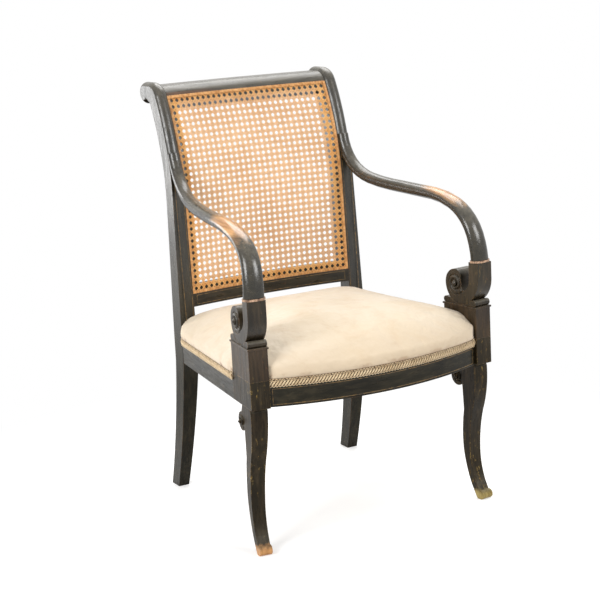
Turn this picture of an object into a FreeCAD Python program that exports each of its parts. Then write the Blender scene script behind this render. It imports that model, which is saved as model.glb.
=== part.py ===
import FreeCAD, Part
import math
import os

from FreeCAD import Placement, Rotation, Vector

# Armchair with a caned scroll back, swept arms on volutes and an over-stuffed seat.
# Millimetres. In a front view X runs to the right; Y runs to the back and Z runs up.
# The origin is on the floor, under the middle of the box round the chair.

os.makedirs("parts", exist_ok=True)
doc = FreeCAD.newDocument("cane_back_armchair")

SIZES = {
    # corner blocks over the front legs, along the splayed sides
    "splay": 6.9,
    "block_width": 39,
    "block_depth": 97,
    "rail_bottom": 297,
    "block_height": 55,
    "rail_height": 52,
    "rail_thickness": 25,
    "front_inset": 3,
    "bow_depth": 50,
    # rear stiles, leg and back post in one
    "stile_front": 417,
    "stile_inner": 192.5,
    "stile_width": 35,
    "stile_depth": 40,
    "post_depth": 33,
    "post_width": 27,
    "post_taper_top": 704,
    "foot_depth": 35,
    "foot_width": 24.5,
    "foot_sweep": 68,
    "foot_spread": 3,
    "leg_hollow": 8.5,
    # back profile
    "lean_angle": 2,
    "bend_start": 640,
    "back_radius": 529,
    "back_turn": 27,
    "back_plan_radius": 1240,
    "crest_radius": 36,
    "crest_run": 31,
    "roll_radius": 15,
    "roll_crease_angle": 35,
    "seam_height": 744,
    "bead_proud": 8,
    # cane and its frame
    "cane_bottom": 443,
    "cane_drop": 0.7,
    "cane_margin": 18,
    "margin_thickness": 15,
    "rebate": 4,
    "lower_rail_height": 28,
    "lower_rail_thickness": 24,
    "cane_thickness": 2.4,
    "cane_gap": 33,
    "binding_width": 5,
    "binding_thickness": 1.2,
    # front legs
    "leg_width_top": 35.5,
    "leg_width_foot": 25,
    "leg_side_inset": 1.5,
    "leg_front_inset": 12,
    "leg_shoulder_radius": 11,
    "leg_volute_radius": 19,
    "leg_volute_drop": 36,
    "leg_volute_back": 66,
    "toe_radius": 9.5,
    "toe_front": 5.5,
    "toe_angle": 70,
    "toe_turn": 200,
    # pedestals, saddles and scrolls under the arms
    "pedestal_height": 62,
    "lip_height": 3.5,
    "lip_overhang": 2,
    "front_roll_radius": 7,
    "rear_roll_radius": 6.5,
    "cradle_thickness": 1.5,
    "cradle_front_run": 34,
    "cradle_rear_run": 28.3,
    "scroll_width": 38,
    "scroll_top": 510,
    "neck_depth": 26,
    "scroll_bed": 48,
    "scroll_front_radius": 56,
    "scroll_rear_radius": 42,
    "scroll_top_radius": 30,
    "scroll_tip_radius": 16,
    "scroll_crease_angle": 70,
    "carving_depth": 1.5,
    "scroll_carving_angle": 210,
    "leg_carving_angle": 225,
    "collar_height": 4,
    "collar_proud": 2,
    # arms
    "arm_width_front": 42,
    "arm_depth_front": 27,
    "arm_depth_middle": 25,
    "arm_sag": 0.8,
    # seat
    "seat_rise": 87,
    "seat_bulge": 9,
    "cover_thickness": 3,
    "gimp_height": 11,
    "gimp_thickness": 2.5,
    "rear_rail_inset": 4,
    "webbing_width": 50,
    "webbing_thickness": 1.2,
    "webbing_lap": 16,
    "webbing_pitch": 80,
    "hessian_thickness": 0.8,
    "seat_run": 200,
    "seat_corner_radius": 12,
    # corner blocks and screws in the seat frame
    "corner_block_leg": 45,
    "corner_block_height": 40,
    "corner_block_run": 60,
    "screw_radius": 2,
    "screw_length": 30,
    "screw_head_radius": 4,
    "screw_head_height": 2.5,
    # joints
    "tenon_length": 22,
    "short_tenon_length": 14,
    "tenon_thickness": 10,
    "tenon_height": 34,
    "dowel_radius": 5,
    "dowel_length": 50,
    "dowel_gap": 0.1,
    "clearance": 0.3,
    "overrun": 20,
}

sheet = doc.addObject("Spreadsheet::Sheet", "Dims")
for row, (alias, value) in enumerate(SIZES.items(), start=1):
    sheet.set(f"A{row}", alias)
    sheet.set(f"B{row}", str(value))
    sheet.setAlias(f"B{row}", alias)
doc.recompute()


def size(alias):
    """A driving dimension, read back from the sheet."""
    return float(sheet.get(alias))


def sin(degrees):
    return math.sin(math.radians(degrees))


def cos(degrees):
    return math.cos(math.radians(degrees))


def tan(degrees):
    return math.tan(math.radians(degrees))


RIGHT_ANGLE = 90
HALF_TURN = 180
THIRD_OF_TURN = 2 * HALF_TURN / 3
X_AXIS = Vector(1, 0, 0)
Y_AXIS = Vector(0, 1, 0)
Z_AXIS = Vector(0, 0, 1)
# Stands a drawing of depth and height up in the side view
TO_SIDE_VIEW = Rotation(Vector(1, 1, 1), THIRD_OF_TURN)

# Heights and lines that several pieces share
clearance = size("clearance")
overrun = size("overrun")
splay = size("splay")
block_width = size("block_width")
block_depth = size("block_depth")
rail_bottom = size("rail_bottom")
rail_top = rail_bottom + size("rail_height")
block_top = rail_bottom + size("block_height")
pedestal_top = block_top + size("pedestal_height")
lip_top = pedestal_top + size("lip_height")
stile_front = size("stile_front")
stile_inner = size("stile_inner")
stile_outer = stile_inner + size("stile_width")
half_front = stile_outer + stile_front * tan(splay)
post_outer = stile_inner + size("post_width")

# Back profile in the YZ plane: a straight lean, a long arc, a short arc, a flat run and a roll
lean = size("lean_angle")
back_turn = size("back_turn")
back_radius = size("back_radius")
crest_radius = size("crest_radius")
roll_radius = size("roll_radius")
bend_y = stile_front + (size("bend_start") - block_top) * tan(lean)
bend_centre_y = bend_y + back_radius * cos(lean)
bend_centre_z = size("bend_start") - back_radius * sin(lean)
turn_y = bend_centre_y - back_radius * cos(back_turn)
turn_z = bend_centre_z + back_radius * sin(back_turn)
crest_y = turn_y + crest_radius * cos(back_turn)
crest_top = turn_z + crest_radius * (1 - sin(back_turn))
roll_y = crest_y + size("crest_run")
roll_z = crest_top - roll_radius
cane_bottom = size("cane_bottom")
cane_top = turn_z - size("cane_drop")

# Bow of the back in plan: it meets the stiles at their front and is deepest in the middle
plan_radius = size("back_plan_radius")
back_bow = plan_radius - math.sqrt(plan_radius**2 - stile_inner**2)
plan_centre = Vector(0, stile_front + back_bow - plan_radius, 0)

# Bow of the front rail, an arc through the inner front corners of the blocks
bow_half = half_front - block_width / cos(splay)
bow_depth = size("bow_depth")
bow_radius = (bow_half**2 + bow_depth**2) / (2 * bow_depth)
bow_centre_y = size("front_inset") - bow_depth + bow_radius

front_edge = bow_centre_y - bow_radius - size("seat_bulge")
back_edge = roll_y + roll_radius + max(back_bow, size("bead_proud"))
FRAME = Placement(Vector(0, -(front_edge + back_edge) / 2, 0), Rotation())
BACK = FRAME.multiply(Placement(plan_centre, Rotation()))
SIDE = FRAME.multiply(Placement(Vector(half_front, 0, 0), Rotation(Z_AXIS, splay)))

# Counts
CANE_COLUMNS = 8
CANE_ROWS = 9
LONG_STRIPS = 4
CROSS_STRIPS = 4

# Shares of the front leg's depth and height: a point on each arc, then its end
LEG_FRONT_SHARES = (
    ((0.134, 0.842), (0.278, 0.643)),
    ((0.376, 0.498), (0.407, 0.357)),
    ((0.381, 0.236), (0.278, 0.121)),
)
LEG_BACK_SHARES = (
    ((0.371, 0.064), (0.474, 0.141)),
    ((0.567, 0.249), (0.619, 0.357)),
    ((0.608, 0.498), (0.536, 0.643)),
)
HEEL_SHARE = 0.258
LEG_NECK_SHARE = 0.6

# Shares of a volute's radius: where its carved line stands after each quarter turn, and its width
SPIRAL_SHARES = (0.84, 0.75, 0.66, 0.57, 0.485, 0.40, 0.325, 0.26, 0.20)
CARVING_WIDTH_SHARE = 0.085

# Shares of the arm's spread, run and drop, from the seam on the post to the collar
ARM_SHARES = (
    (0.00, 0.000, 0.00),
    (0.01, 0.031, 0.155),
    (0.06, 0.087, 0.284),
    (0.15, 0.160, 0.365),
    (0.28, 0.249, 0.410),
    (0.42, 0.352, 0.433),
    (0.55, 0.458, 0.446),
    (0.66, 0.565, 0.455),
    (0.75, 0.669, 0.464),
    (0.81, 0.765, 0.487),
    (0.84, 0.849, 0.533),
    (0.865, 0.916, 0.606),
    (0.90, 0.963, 0.706),
    (0.95, 0.990, 0.839),
    (1.00, 1.000, 1.000),
)
ARM_GROWTH_POWER = 1.3

# Shares: of the bow's half angle and of the rear block's leg where their screws lie, of the
# leg block's depth where the front corner block ends, and of the seat's inset by which its
# corners grow rounder
BOW_SCREW_SHARE = 0.86
REAR_SCREW_SHARE = 0.55
FRONT_WEDGE_SHARE = 0.4
WEDGE_DEPTH_SHARE = 0.85
CORNER_GROWTH_SHARE = 0.2

# Shares of the seat's rise above the rails and of its run in from their faces, foot to crown
SEAT_SHARES = (
    (-0.10, 0.030),
    (0.00, -0.005),
    (0.10, -0.040),
    (0.26, -0.042),
    (0.46, 0.030),
    (0.63, 0.190),
    (0.75, 0.375),
    (0.90, 0.625),
    (0.985, 0.850),
)

parts = []


def keep(thing, label):
    """Name a finished sub-part: its label is its node and its file name."""
    thing.Label = label
    parts.append(thing)
    return thing


class Outline:
    """A closed outline of lines and arcs, drawn point by point in a plane."""

    def __init__(self, across, up):
        self.start = Vector(across, up, 0)
        self.here = self.start
        self.curves = []

    def line(self, across, up):
        end = Vector(across, up, 0)
        self.curves.append(Part.LineSegment(self.here, end))
        self.here = end
        return self

    def arc(self, via_across, via_up, across, up):
        end = Vector(across, up, 0)
        self.curves.append(Part.Arc(self.here, Vector(via_across, via_up, 0), end))
        self.here = end
        return self

    def turn(self, centre_across, centre_up, angle):
        """An arc round a centre, anticlockwise where the angle is positive."""
        centre = Vector(centre_across, centre_up, 0)
        arm = self.here - centre
        middle = centre + Rotation(Z_AXIS, angle / 2).multVec(arm)
        end = centre + Rotation(Z_AXIS, angle).multVec(arm)
        self.curves.append(Part.Arc(self.here, middle, end))
        self.here = end
        return self

    def close(self):
        return self.line(self.start.x, self.start.y)


def rectangle(left, low, right, high):
    return Outline(left, low).line(right, low).line(right, high).line(left, high).close()


def new_body(name, placement=FRAME):
    body = doc.addObject("PartDesign::Body", name)
    body.Placement = placement
    return body


def origin_item(body, role):
    return next(item for item in body.Origin.OriginFeatures if item.Role == role)


def add_pad(body, role, outline, length, offset=None, backwards=False, middle=False):
    """Pad an outline on one of the body's origin planes; length and offset are expressions."""
    sketch = body.newObject("Sketcher::SketchObject", body.Name + "_outline")
    sketch.AttachmentSupport = (origin_item(body, role), [""])
    sketch.MapMode = "FlatFace"
    if offset:
        sketch.setExpression("AttachmentOffset.Base.z", offset)
    for curve in outline.curves:
        sketch.addGeometry(curve)
    pad = body.newObject("PartDesign::Pad", body.Name + "_pad")
    pad.Profile = sketch
    pad.setExpression("Length", length)
    pad.Reversed = backwards
    pad.Midplane = middle
    return pad


def box(name, corner, lengths, placement=FRAME):
    """A box whose three lengths are expressions, from its lowest corner in a frame."""
    block = doc.addObject("Part::Box", name)
    for side, length in zip(("Length", "Width", "Height"), lengths):
        block.setExpression(side, length)
    block.Placement = placement.multiply(Placement(corner, Rotation()))
    return block


def peg(name, centre, radius, length, placement=FRAME, direction=Z_AXIS):
    """A round peg or its hole, from the centre of its lower end."""
    cylinder = doc.addObject("Part::Cylinder", name)
    cylinder.setExpression("Radius", radius)
    cylinder.setExpression("Height", length)
    cylinder.Placement = placement.multiply(Placement(centre, Rotation(Z_AXIS, direction)))
    return cylinder


def tenon_and_mortise(name, corner, lengths, placement=FRAME):
    """A tenon and the cutter for its mortise, larger all round by the clearance."""
    tenon = box(name + "_tenon", corner, lengths, placement)
    roomy = [f"{length} + 2 * Dims.clearance" for length in lengths]
    margin = Vector(clearance, clearance, clearance)
    return tenon, box(name + "_mortise", corner - margin, roomy, placement)


def fuse(name, shapes):
    joined = doc.addObject("Part::MultiFuse", name)
    joined.Shapes = shapes
    return joined


def cut(name, base, tools):
    """Take one or more tools away from a base."""
    result = doc.addObject("Part::Cut", name)
    result.Base = base
    result.Tool = tools[0] if len(tools) == 1 else fuse(name + "_tools", tools)
    return result


def common(name, first, second):
    result = doc.addObject("Part::Common", name)
    result.Base = first
    result.Tool = second
    return result


def mirrored(source, name):
    """The same thing on the other side of the chair."""
    twin = doc.addObject("Part::Mirroring", name)
    twin.Source = source
    twin.Normal = X_AXIS
    return twin


def keep_pair(right, label):
    keep(right, label + "_right")
    return keep(mirrored(right, label + "_mirror"), label + "_left")


def solid_feature(name, shape, placement=FRAME):
    feature = doc.addObject("Part::Feature", name)
    feature.Shape = shape
    feature.Placement = placement
    return feature


def station(height, inward=0):
    """The point of the back profile at a height on its front face, moved inward square to it."""
    if height <= size("bend_start"):
        along = Vector(stile_front + (height - block_top) * tan(lean), height, 0)
        angle = lean
    else:
        angle = math.degrees(math.asin((height - bend_centre_z) / back_radius))
        along = Vector(bend_centre_y - back_radius * cos(angle), height, 0)
    return along + Vector(cos(angle), -sin(angle), 0) * inward


def back_band(front, rear, low, high):
    """A strip of the back's profile between two depths and two heights."""
    bend = size("bend_start")
    start = station(low, front)
    outline = Outline(start.x, start.y)
    for inward, first, last in ((front, low, high), (rear, high, low)):
        if first > last:
            corner = station(high, inward)
            outline.line(corner.x, corner.y)
        middle = station((max(low, bend) + high) / 2, inward)
        knee = station(bend, inward)
        end = station(last, inward)
        if high <= bend:
            outline.line(end.x, end.y)
        elif low >= bend:
            outline.arc(middle.x, middle.y, end.x, end.y)
        elif first < last:
            outline.line(knee.x, knee.y).arc(middle.x, middle.y, end.x, end.y)
        else:
            outline.arc(middle.x, middle.y, knee.x, knee.y).line(end.x, end.y)
    return outline.close()


def bowed(name, outline):
    """Turn a side view of the back about the centre of the back's bow, past both stiles."""
    body = new_body(name, BACK)
    sketch = body.newObject("Sketcher::SketchObject", name + "_outline")
    sketch.AttachmentSupport = (origin_item(body, "YZ_Plane"), [""])
    sketch.MapMode = "FlatFace"
    sketch.setExpression("AttachmentOffset.Base.x", "Dims.back_plan_radius - Dims.stile_front")
    for curve in outline.curves:
        sketch.addGeometry(curve)
    revolution = body.newObject("PartDesign::Revolution", name + "_revolution")
    revolution.Profile = sketch
    revolution.ReferenceAxis = (origin_item(body, "Z_Axis"), [""])
    revolution.setExpression("Angle", "3 * asin(Dims.stile_inner / Dims.back_plan_radius)")
    revolution.Midplane = True
    return body


def between_planes(name, bowed_body, left, width):
    """Trim a bowed piece to a stretch across the chair; the width is an expression."""
    slab = box(name + "_slab", Vector(left, 0, 0), (width, "2 * Dims.stile_front", "4 * Dims.rail_bottom"))
    return common(name, bowed_body, slab)


def bowed_sheet(outline):
    """The same turn as a bare solid, for the cane and its binding."""
    wire = Part.Wire([curve.toShape() for curve in outline.curves])
    wire.Placement = Placement(Y_AXIS * back_bow, TO_SIDE_VIEW)
    sweep = 3 * math.degrees(math.asin(stile_inner / plan_radius))
    face = Part.Face(wire)
    face.rotate(plan_centre, Z_AXIS, -sweep / 2)
    return face.revolve(plan_centre, Z_AXIS, sweep)


def crest_end(outline):
    """From the top of the long arc, over the crest and round the roll to its crease."""
    outline.turn(crest_y, turn_z - crest_radius * sin(back_turn), back_turn - RIGHT_ANGLE)
    outline.line(roll_y, crest_top)
    return outline.turn(roll_y, roll_z, size("roll_crease_angle") - 3 * RIGHT_ANGLE)


# Rear stile: sabre leg, leaning post and rolled top in one piece of wood
def stile_side_view():
    foot_y = stile_front + size("foot_sweep")
    foot_back = foot_y + size("foot_depth")
    hollow = size("leg_hollow")
    stile_back = stile_front + size("stile_depth")
    knee = station(size("bend_start"))
    turn_middle = station((size("bend_start") + turn_z) / 2)
    outline = Outline(foot_y, 0)
    outline.arc((foot_y + stile_front) / 2 - hollow, rail_bottom / 2, stile_front, rail_bottom)
    outline.line(stile_front, block_top)
    outline.line(knee.x, knee.y)
    outline.arc(turn_middle.x, turn_middle.y, turn_y, turn_z)
    crest_end(outline)
    depth = size("post_depth")
    inner = station(turn_z, depth)
    outline.line(inner.x, inner.y)
    middle = station((size("bend_start") + turn_z) / 2, depth)
    knee = station(size("bend_start"), depth)
    outline.arc(middle.x, middle.y, knee.x, knee.y)
    outline.line(stile_back, block_top)
    outline.line(stile_back, rail_bottom)
    outline.arc((foot_back + stile_back) / 2 - hollow, rail_bottom / 2, foot_back, 0)
    return outline.close()


def stile_front_view():
    foot_outer = stile_outer + size("foot_spread")
    ceiling = crest_top + overrun
    outline = Outline(foot_outer - size("foot_width"), 0)
    outline.line(foot_outer, 0)
    outline.line(stile_outer, block_top)
    outline.line(post_outer, size("post_taper_top"))
    outline.line(post_outer, ceiling)
    outline.line(stile_inner, ceiling)
    outline.line(stile_inner, rail_bottom)
    return outline.close()


def stile_bead():
    """The half-round front of the post, from the arm's seam up and over the roll."""
    seam = station(size("seam_height"))
    middle = station((size("seam_height") + turn_z) / 2)
    path = Outline(seam.x, seam.y)
    path.arc(middle.x, middle.y, turn_y, turn_z)
    path.turn(crest_y, turn_z - crest_radius * sin(back_turn), back_turn - RIGHT_ANGLE)
    path.line(roll_y, crest_top)
    path.turn(roll_y, roll_z, -RIGHT_ANGLE)
    path.turn(roll_y, roll_z, -RIGHT_ANGLE)
    spine = Part.Wire([curve.toShape() for curve in path.curves])
    spine.Placement = Placement(Vector(0, 0, 0), TO_SIDE_VIEW)
    angle = math.degrees(math.asin((size("seam_height") - bend_centre_z) / back_radius))
    outward = Vector(0, -cos(angle), sin(angle))
    root = Vector(0, seam.x, seam.y)
    left = root + X_AXIS * stile_inner
    right = root + X_AXIS * post_outer
    top = (left + right) / 2 + outward * size("bead_proud")
    round_edge = Part.Arc(left, top, right).toShape()
    section = Part.Wire([round_edge, Part.LineSegment(right, left).toShape()])
    return spine.makePipeShell([section], True, False)


side_view = new_body("stile_side")
add_pad(side_view, "YZ_Plane", stile_side_view(), "2 * Dims.stile_inner")
front_view = new_body("stile_front_view")
add_pad(front_view, "XZ_Plane", stile_front_view(), "2 * Dims.stile_front", backwards=True)
stile_plank = common("stile_plank", side_view, front_view)
bead = solid_feature("stile_bead", stile_bead())
margin_band = back_band(size("rebate"), size("rebate") + size("margin_thickness"),
                        cane_bottom + size("cane_margin"), cane_top - size("cane_margin"))
margin = between_planes("stile_margin", bowed("margin_strip", margin_band),
                        stile_inner - size("cane_margin"), "Dims.cane_margin")
stile_blank = fuse("stile_blank", [stile_plank, bead, margin])

# Tenons and mortises that join the rails to the stiles and the front blocks
tenon_sizes = ("Dims.tenon_length + Dims.overrun", "Dims.tenon_thickness", "Dims.tenon_height")
short_sizes = ("Dims.short_tenon_length + Dims.overrun", "Dims.tenon_thickness", "Dims.tenon_height")
end_sizes = (tenon_sizes[1], tenon_sizes[0], tenon_sizes[2])
rail_thickness = size("rail_thickness")
tenon_thickness = size("tenon_thickness")
tenon_length = size("tenon_length")
tenon_low = rail_bottom + (size("rail_height") - size("tenon_height")) / 2
rail_middle = (rail_thickness + tenon_thickness) / 2
side_rail_end = (stile_front + rail_thickness / 2 * sin(splay)) / cos(splay)
rear_rail_front = stile_front + size("rear_rail_inset")
rear_rail_back = rear_rail_front + rail_thickness

half_tenon = tenon_thickness / 2
stile_tenon_x = stile_inner - overrun

side_front = tenon_and_mortise(
    "side_rail_front", Vector(-rail_middle, block_depth - tenon_length, tenon_low), end_sizes, SIDE)
side_rear = tenon_and_mortise(
    "side_rail_rear", Vector(-rail_middle, side_rail_end - overrun, tenon_low), end_sizes, SIDE)
bow_sizes = ("Dims.tenon_length + Dims.overrun / 2",) + tenon_sizes[1:]
bow = tenon_and_mortise(
    "front_rail_end", Vector(-block_width - overrun / 2, tenon_thickness, tenon_low), bow_sizes, SIDE)
rear = tenon_and_mortise(
    "rear_rail_end", Vector(stile_tenon_x, rear_rail_front + half_tenon, tenon_low), short_sizes)
small_sizes = short_sizes[:2] + ("Dims.tenon_thickness",)
lower_seat = station(cane_bottom - size("lower_rail_height") / 2, size("lower_rail_thickness") / 2)
lower_place = Vector(stile_tenon_x, lower_seat.x - half_tenon, lower_seat.y - half_tenon)
lower = tenon_and_mortise("lower_rail_end", lower_place, small_sizes)
crest_seat = station(turn_z, size("post_depth") / 2)
crest_place = Vector(stile_tenon_x, crest_seat.x - half_tenon, crest_seat.y - half_tenon)
crest = tenon_and_mortise("crest_end", crest_place, small_sizes)


# Screws through the corner blocks, and the stepped holes that they sit in
def screw_and_hole(name, face_point, direction, placement=FRAME):
    """A screw half in a corner block and half in the piece whose face holds the point."""
    start = face_point - direction * (size("screw_length") / 2)
    head = peg(name + "_head", start - direction * size("screw_head_height"), "Dims.screw_head_radius",
               "Dims.screw_head_height", placement, direction)
    shank = peg(name + "_shank", start, "Dims.screw_radius", "Dims.screw_length", placement, direction)
    bore = peg(name + "_bore", start - direction * size("corner_block_leg"),
               "Dims.screw_head_radius + Dims.dowel_gap", "Dims.corner_block_leg", placement, direction)
    hole = peg(name + "_hole", start, "Dims.screw_radius + Dims.dowel_gap",
               "Dims.screw_length + Dims.dowel_gap", placement, direction)
    return fuse(name, [head, shank]), fuse(name + "_space", [bore, hole])


screw_z = rail_bottom + size("rail_height") / 2
bow_screw_angle = BOW_SCREW_SHARE * math.degrees(math.asin(bow_half / bow_radius))
bow_outward = Vector(sin(bow_screw_angle), -cos(bow_screw_angle), 0)
bow_screw_point = Vector(0, bow_centre_y, screw_z) + bow_outward * (bow_radius - rail_thickness)
bow_screw = screw_and_hole("bow_screw", bow_screw_point, bow_outward)
corner_run = size("corner_block_run")
side_outward = Vector(cos(splay), sin(splay), 0)
side_forward = Vector(sin(splay), -cos(splay), 0)
rail_inner_end = Vector(stile_outer - rail_thickness / cos(splay), stile_front, 0)
rear_screw_x = stile_inner - REAR_SCREW_SHARE * size("corner_block_leg")
rear_screw = screw_and_hole("rear_screw", Vector(rear_screw_x, rear_rail_front, screw_z), Y_AXIS)
screws = [bow_screw, rear_screw]

stile_right = cut("stile_right", stile_blank, [side_rear[1], rear[1], lower[1], crest[1]])
keep_pair(stile_right, "rear_stile")


# Crest rail, lower back rail and rear seat rail between the stiles
def crest_side_view():
    depth = size("post_depth")
    low = cane_top - size("cane_margin")
    front = station(low)
    middle = station((low + turn_z) / 2)
    outline = Outline(front.x, front.y)
    outline.arc(middle.x, middle.y, turn_y, turn_z)
    crest_end(outline)
    inner = station(turn_z, depth)
    outline.line(inner.x, inner.y)
    middle = station((low + turn_z) / 2, depth)
    back = station(low, depth)
    outline.arc(middle.x, middle.y, back.x, back.y)
    return outline.close()


def between_stiles(name, outline):
    return between_planes(name, bowed(name + "_strip", outline), -stile_inner, "2 * Dims.stile_inner")


def both_sides(name, tool):
    return [tool, mirrored(tool, name + "_mirror")]


cane_recess = bowed("cane_recess", back_band(-overrun, size("rebate"), cane_bottom, cane_top))
crest_blank = cut("crest_blank", between_stiles("crest_bar", crest_side_view()), [cane_recess])
keep(fuse("crest", [crest_blank] + both_sides("crest_tenon", crest[0])), "crest_rail")
lower_low = cane_bottom - size("lower_rail_height")
lower_high = cane_bottom + size("cane_margin")
lower_band = back_band(0, size("lower_rail_thickness"), lower_low, lower_high)
lower_blank = cut("lower_blank", between_stiles("lower_bar", lower_band), [cane_recess])
keep(fuse("lower_rail", [lower_blank] + both_sides("lower_tenon", lower[0])), "lower_back_rail")
rear_bar = box("rear_bar", Vector(-stile_inner, rear_rail_front, rail_bottom),
               ("2 * Dims.stile_inner", "Dims.rail_thickness", "Dims.rail_height"))
rear_rail = fuse("rear_rail", [rear_bar] + both_sides("rear_tenon", rear[0]))
keep(cut("bored_rear_rail", rear_rail, both_sides("rear_screw_space", rear_screw[1])), "rear_seat_rail")


# Cane: a curved net of square gaps, with a flat binding strip laid round its edge
def cane_net():
    low = cane_bottom + clearance
    high = cane_top - clearance
    floor = size("rebate") - clearance
    sheet_solid = bowed_sheet(back_band(floor - size("cane_thickness"), floor, low, high))
    edge = size("cane_margin")
    open_half = stile_inner - edge
    open_low = cane_bottom + edge
    pitch_x = 2 * open_half / CANE_COLUMNS
    pitch_z = (cane_top - edge - open_low) / CANE_ROWS
    reach = size("cane_gap") / 2
    half_wide = stile_inner - clearance
    loops = [((-half_wide, 0), (half_wide, crest_top))]
    for column in range(CANE_COLUMNS):
        for line in range(CANE_ROWS):
            x = -open_half + (column + 1 / 2) * pitch_x
            z = open_low + (line + 1 / 2) * pitch_z
            loops.append(((x - reach, z - reach), (x + reach, z + reach)))
    wires = []
    for (left, bottom), (right, top) in loops:
        corners = ((left, bottom), (right, bottom), (right, top), (left, top), (left, bottom))
        wires.append(Part.makePolygon([Vector(x, 0, z) for x, z in corners]))
    holed = Part.makeFace(wires, "Part::FaceMakerBullseye")
    return sheet_solid.common(holed.extrude(Y_AXIS * 2 * stile_front))


keep(solid_feature("cane", cane_net()), "cane_panel")


def binding_strips():
    top = size("rebate") - 2 * clearance - size("cane_thickness")
    bottom = top - size("binding_thickness")
    low = cane_bottom + clearance
    high = cane_top - clearance
    width = size("binding_width")
    half_wide = stile_inner - clearance
    pieces = []
    places = (
        (low + width, high - width, -half_wide, width),
        (low + width, high - width, half_wide - width, width),
        (low, low + width, -half_wide, 2 * half_wide),
        (high - width, high, -half_wide, 2 * half_wide),
    )
    for first, last, left, length in places:
        slab = Part.makeBox(length, 2 * stile_front, 2 * crest_top, Vector(left, 0, 0))
        pieces.append(bowed_sheet(back_band(bottom, top, first, last)).common(slab))
    return Part.makeCompound(pieces)


keep(solid_feature("binding", binding_strips()), "cane_binding")

# Side rails, flush with the blocks and butted on the stiles
side_bar = new_body("side_bar")
side_start = Vector(half_front - block_depth * sin(splay), block_depth * cos(splay), 0)
inner_start = side_start - Vector(cos(splay), sin(splay), 0) * rail_thickness
side_outline = Outline(side_start.x, side_start.y).line(stile_outer, stile_front)
side_outline.line(stile_outer - rail_thickness / cos(splay), stile_front)
side_outline.line(inner_start.x, inner_start.y)
add_pad(side_bar, "XY_Plane", side_outline.close(), "Dims.rail_height", offset="Dims.rail_bottom")
side_rail = fuse("side_rail_joined", [side_bar, side_front[0], side_rear[0]])
keep_pair(side_rail, "side_rail")


# Bowed front rail between the blocks
def bow_strip(front, rear):
    reach = math.degrees(math.asin(bow_half / bow_radius) + overrun / bow_radius)
    outer = bow_radius + front
    outline = Outline(-outer * sin(reach), bow_centre_y - outer * cos(reach))
    outline.turn(0, bow_centre_y, 2 * reach)
    inner = bow_radius - rear
    outline.line(inner * sin(reach), bow_centre_y - inner * cos(reach))
    outline.turn(0, bow_centre_y, -2 * reach)
    return outline.close()


def between_blocks(name, body):
    """Trim a bowed strip to the inner faces of the two front blocks."""
    end = box(name + "_end", Vector(-block_width, -block_depth, 0),
              ("2 * Dims.block_width", "3 * Dims.block_depth", "2 * Dims.rail_bottom"), SIDE)
    return cut(name + "_trimmed", body, both_sides(name + "_end", end))


front_bar = new_body("front_bar")
add_pad(front_bar, "XY_Plane", bow_strip(0, rail_thickness), "Dims.rail_height", offset="Dims.rail_bottom")
bow_rail = fuse("bow_rail", [between_blocks("front_bar", front_bar)] + both_sides("bow_tenon", bow[0]))
keep(cut("bored_front_rail", bow_rail, both_sides("bow_screw_space", bow_screw[1])), "front_rail")

# Front legs: a block and a console leg with a volute behind and a rolled toe


def leg_side_view():
    toe = size("toe_radius")
    toe_y = size("toe_front") + toe
    volute = size("leg_volute_radius")
    volute_y = size("leg_volute_back")
    volute_z = rail_bottom - size("leg_volute_drop")
    shoulder = size("leg_shoulder_radius")
    shoulder_y = size("leg_front_inset") + shoulder
    outline = Outline(shoulder_y, rail_bottom)
    outline.turn(shoulder_y, rail_bottom - shoulder, RIGHT_ANGLE)
    for via, end in LEG_FRONT_SHARES:
        outline.arc(via[0] * block_depth, via[1] * rail_bottom, end[0] * block_depth, end[1] * rail_bottom)
    outline.line(toe_y + toe * cos(size("toe_angle")), toe + toe * sin(size("toe_angle")))
    outline.turn(toe_y, toe, size("toe_turn"))
    outline.line(HEEL_SHARE * block_depth, 0)
    for via, end in LEG_BACK_SHARES:
        outline.arc(via[0] * block_depth, via[1] * rail_bottom, end[0] * block_depth, end[1] * rail_bottom)
    under = HALF_TURN + RIGHT_ANGLE / 2
    outline.line(volute_y + volute * cos(under), volute_z + volute * sin(under))
    outline.turn(volute_y, volute_z, under)
    outline.line(LEG_NECK_SHARE * block_depth, rail_bottom)
    return outline.close()


def leg_front_view():
    outer = -size("leg_side_inset")
    outline = Outline(outer, 0).line(outer, rail_bottom)
    outline.line(outer - size("leg_width_top"), rail_bottom)
    outline.line(outer - size("leg_width_foot"), 0)
    return outline.close()


def spiral_groove(centre_y, centre_z, radius, start):
    """A ribbon that winds in to the eye of a volute by quarter turns, as a face in the YZ plane."""
    half = radius * CARVING_WIDTH_SHARE / 2
    sides = []
    for edge in (-half, half):
        chain = []
        for turn in range(len(SPIRAL_SHARES) - 1):
            points = []
            for part in (0, 1 / 2, 1):
                reach = SPIRAL_SHARES[turn] * (1 - part) + SPIRAL_SHARES[turn + 1] * part
                angle = start + RIGHT_ANGLE * (turn + part)
                points.append(Vector(0, centre_y + (radius * reach + edge) * cos(angle),
                                     centre_z + (radius * reach + edge) * sin(angle)))
            chain.append(Part.Arc(*points))
        sides.append(chain)
    inner, outer = sides
    caps = [Part.LineSegment(inner[0].StartPoint, outer[0].StartPoint),
            Part.LineSegment(inner[-1].EndPoint, outer[-1].EndPoint)]
    edges = [curve.toShape() for curve in inner + outer + caps]
    return Part.Face(Part.Wire(Part.__sortEdges__(edges)))


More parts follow.
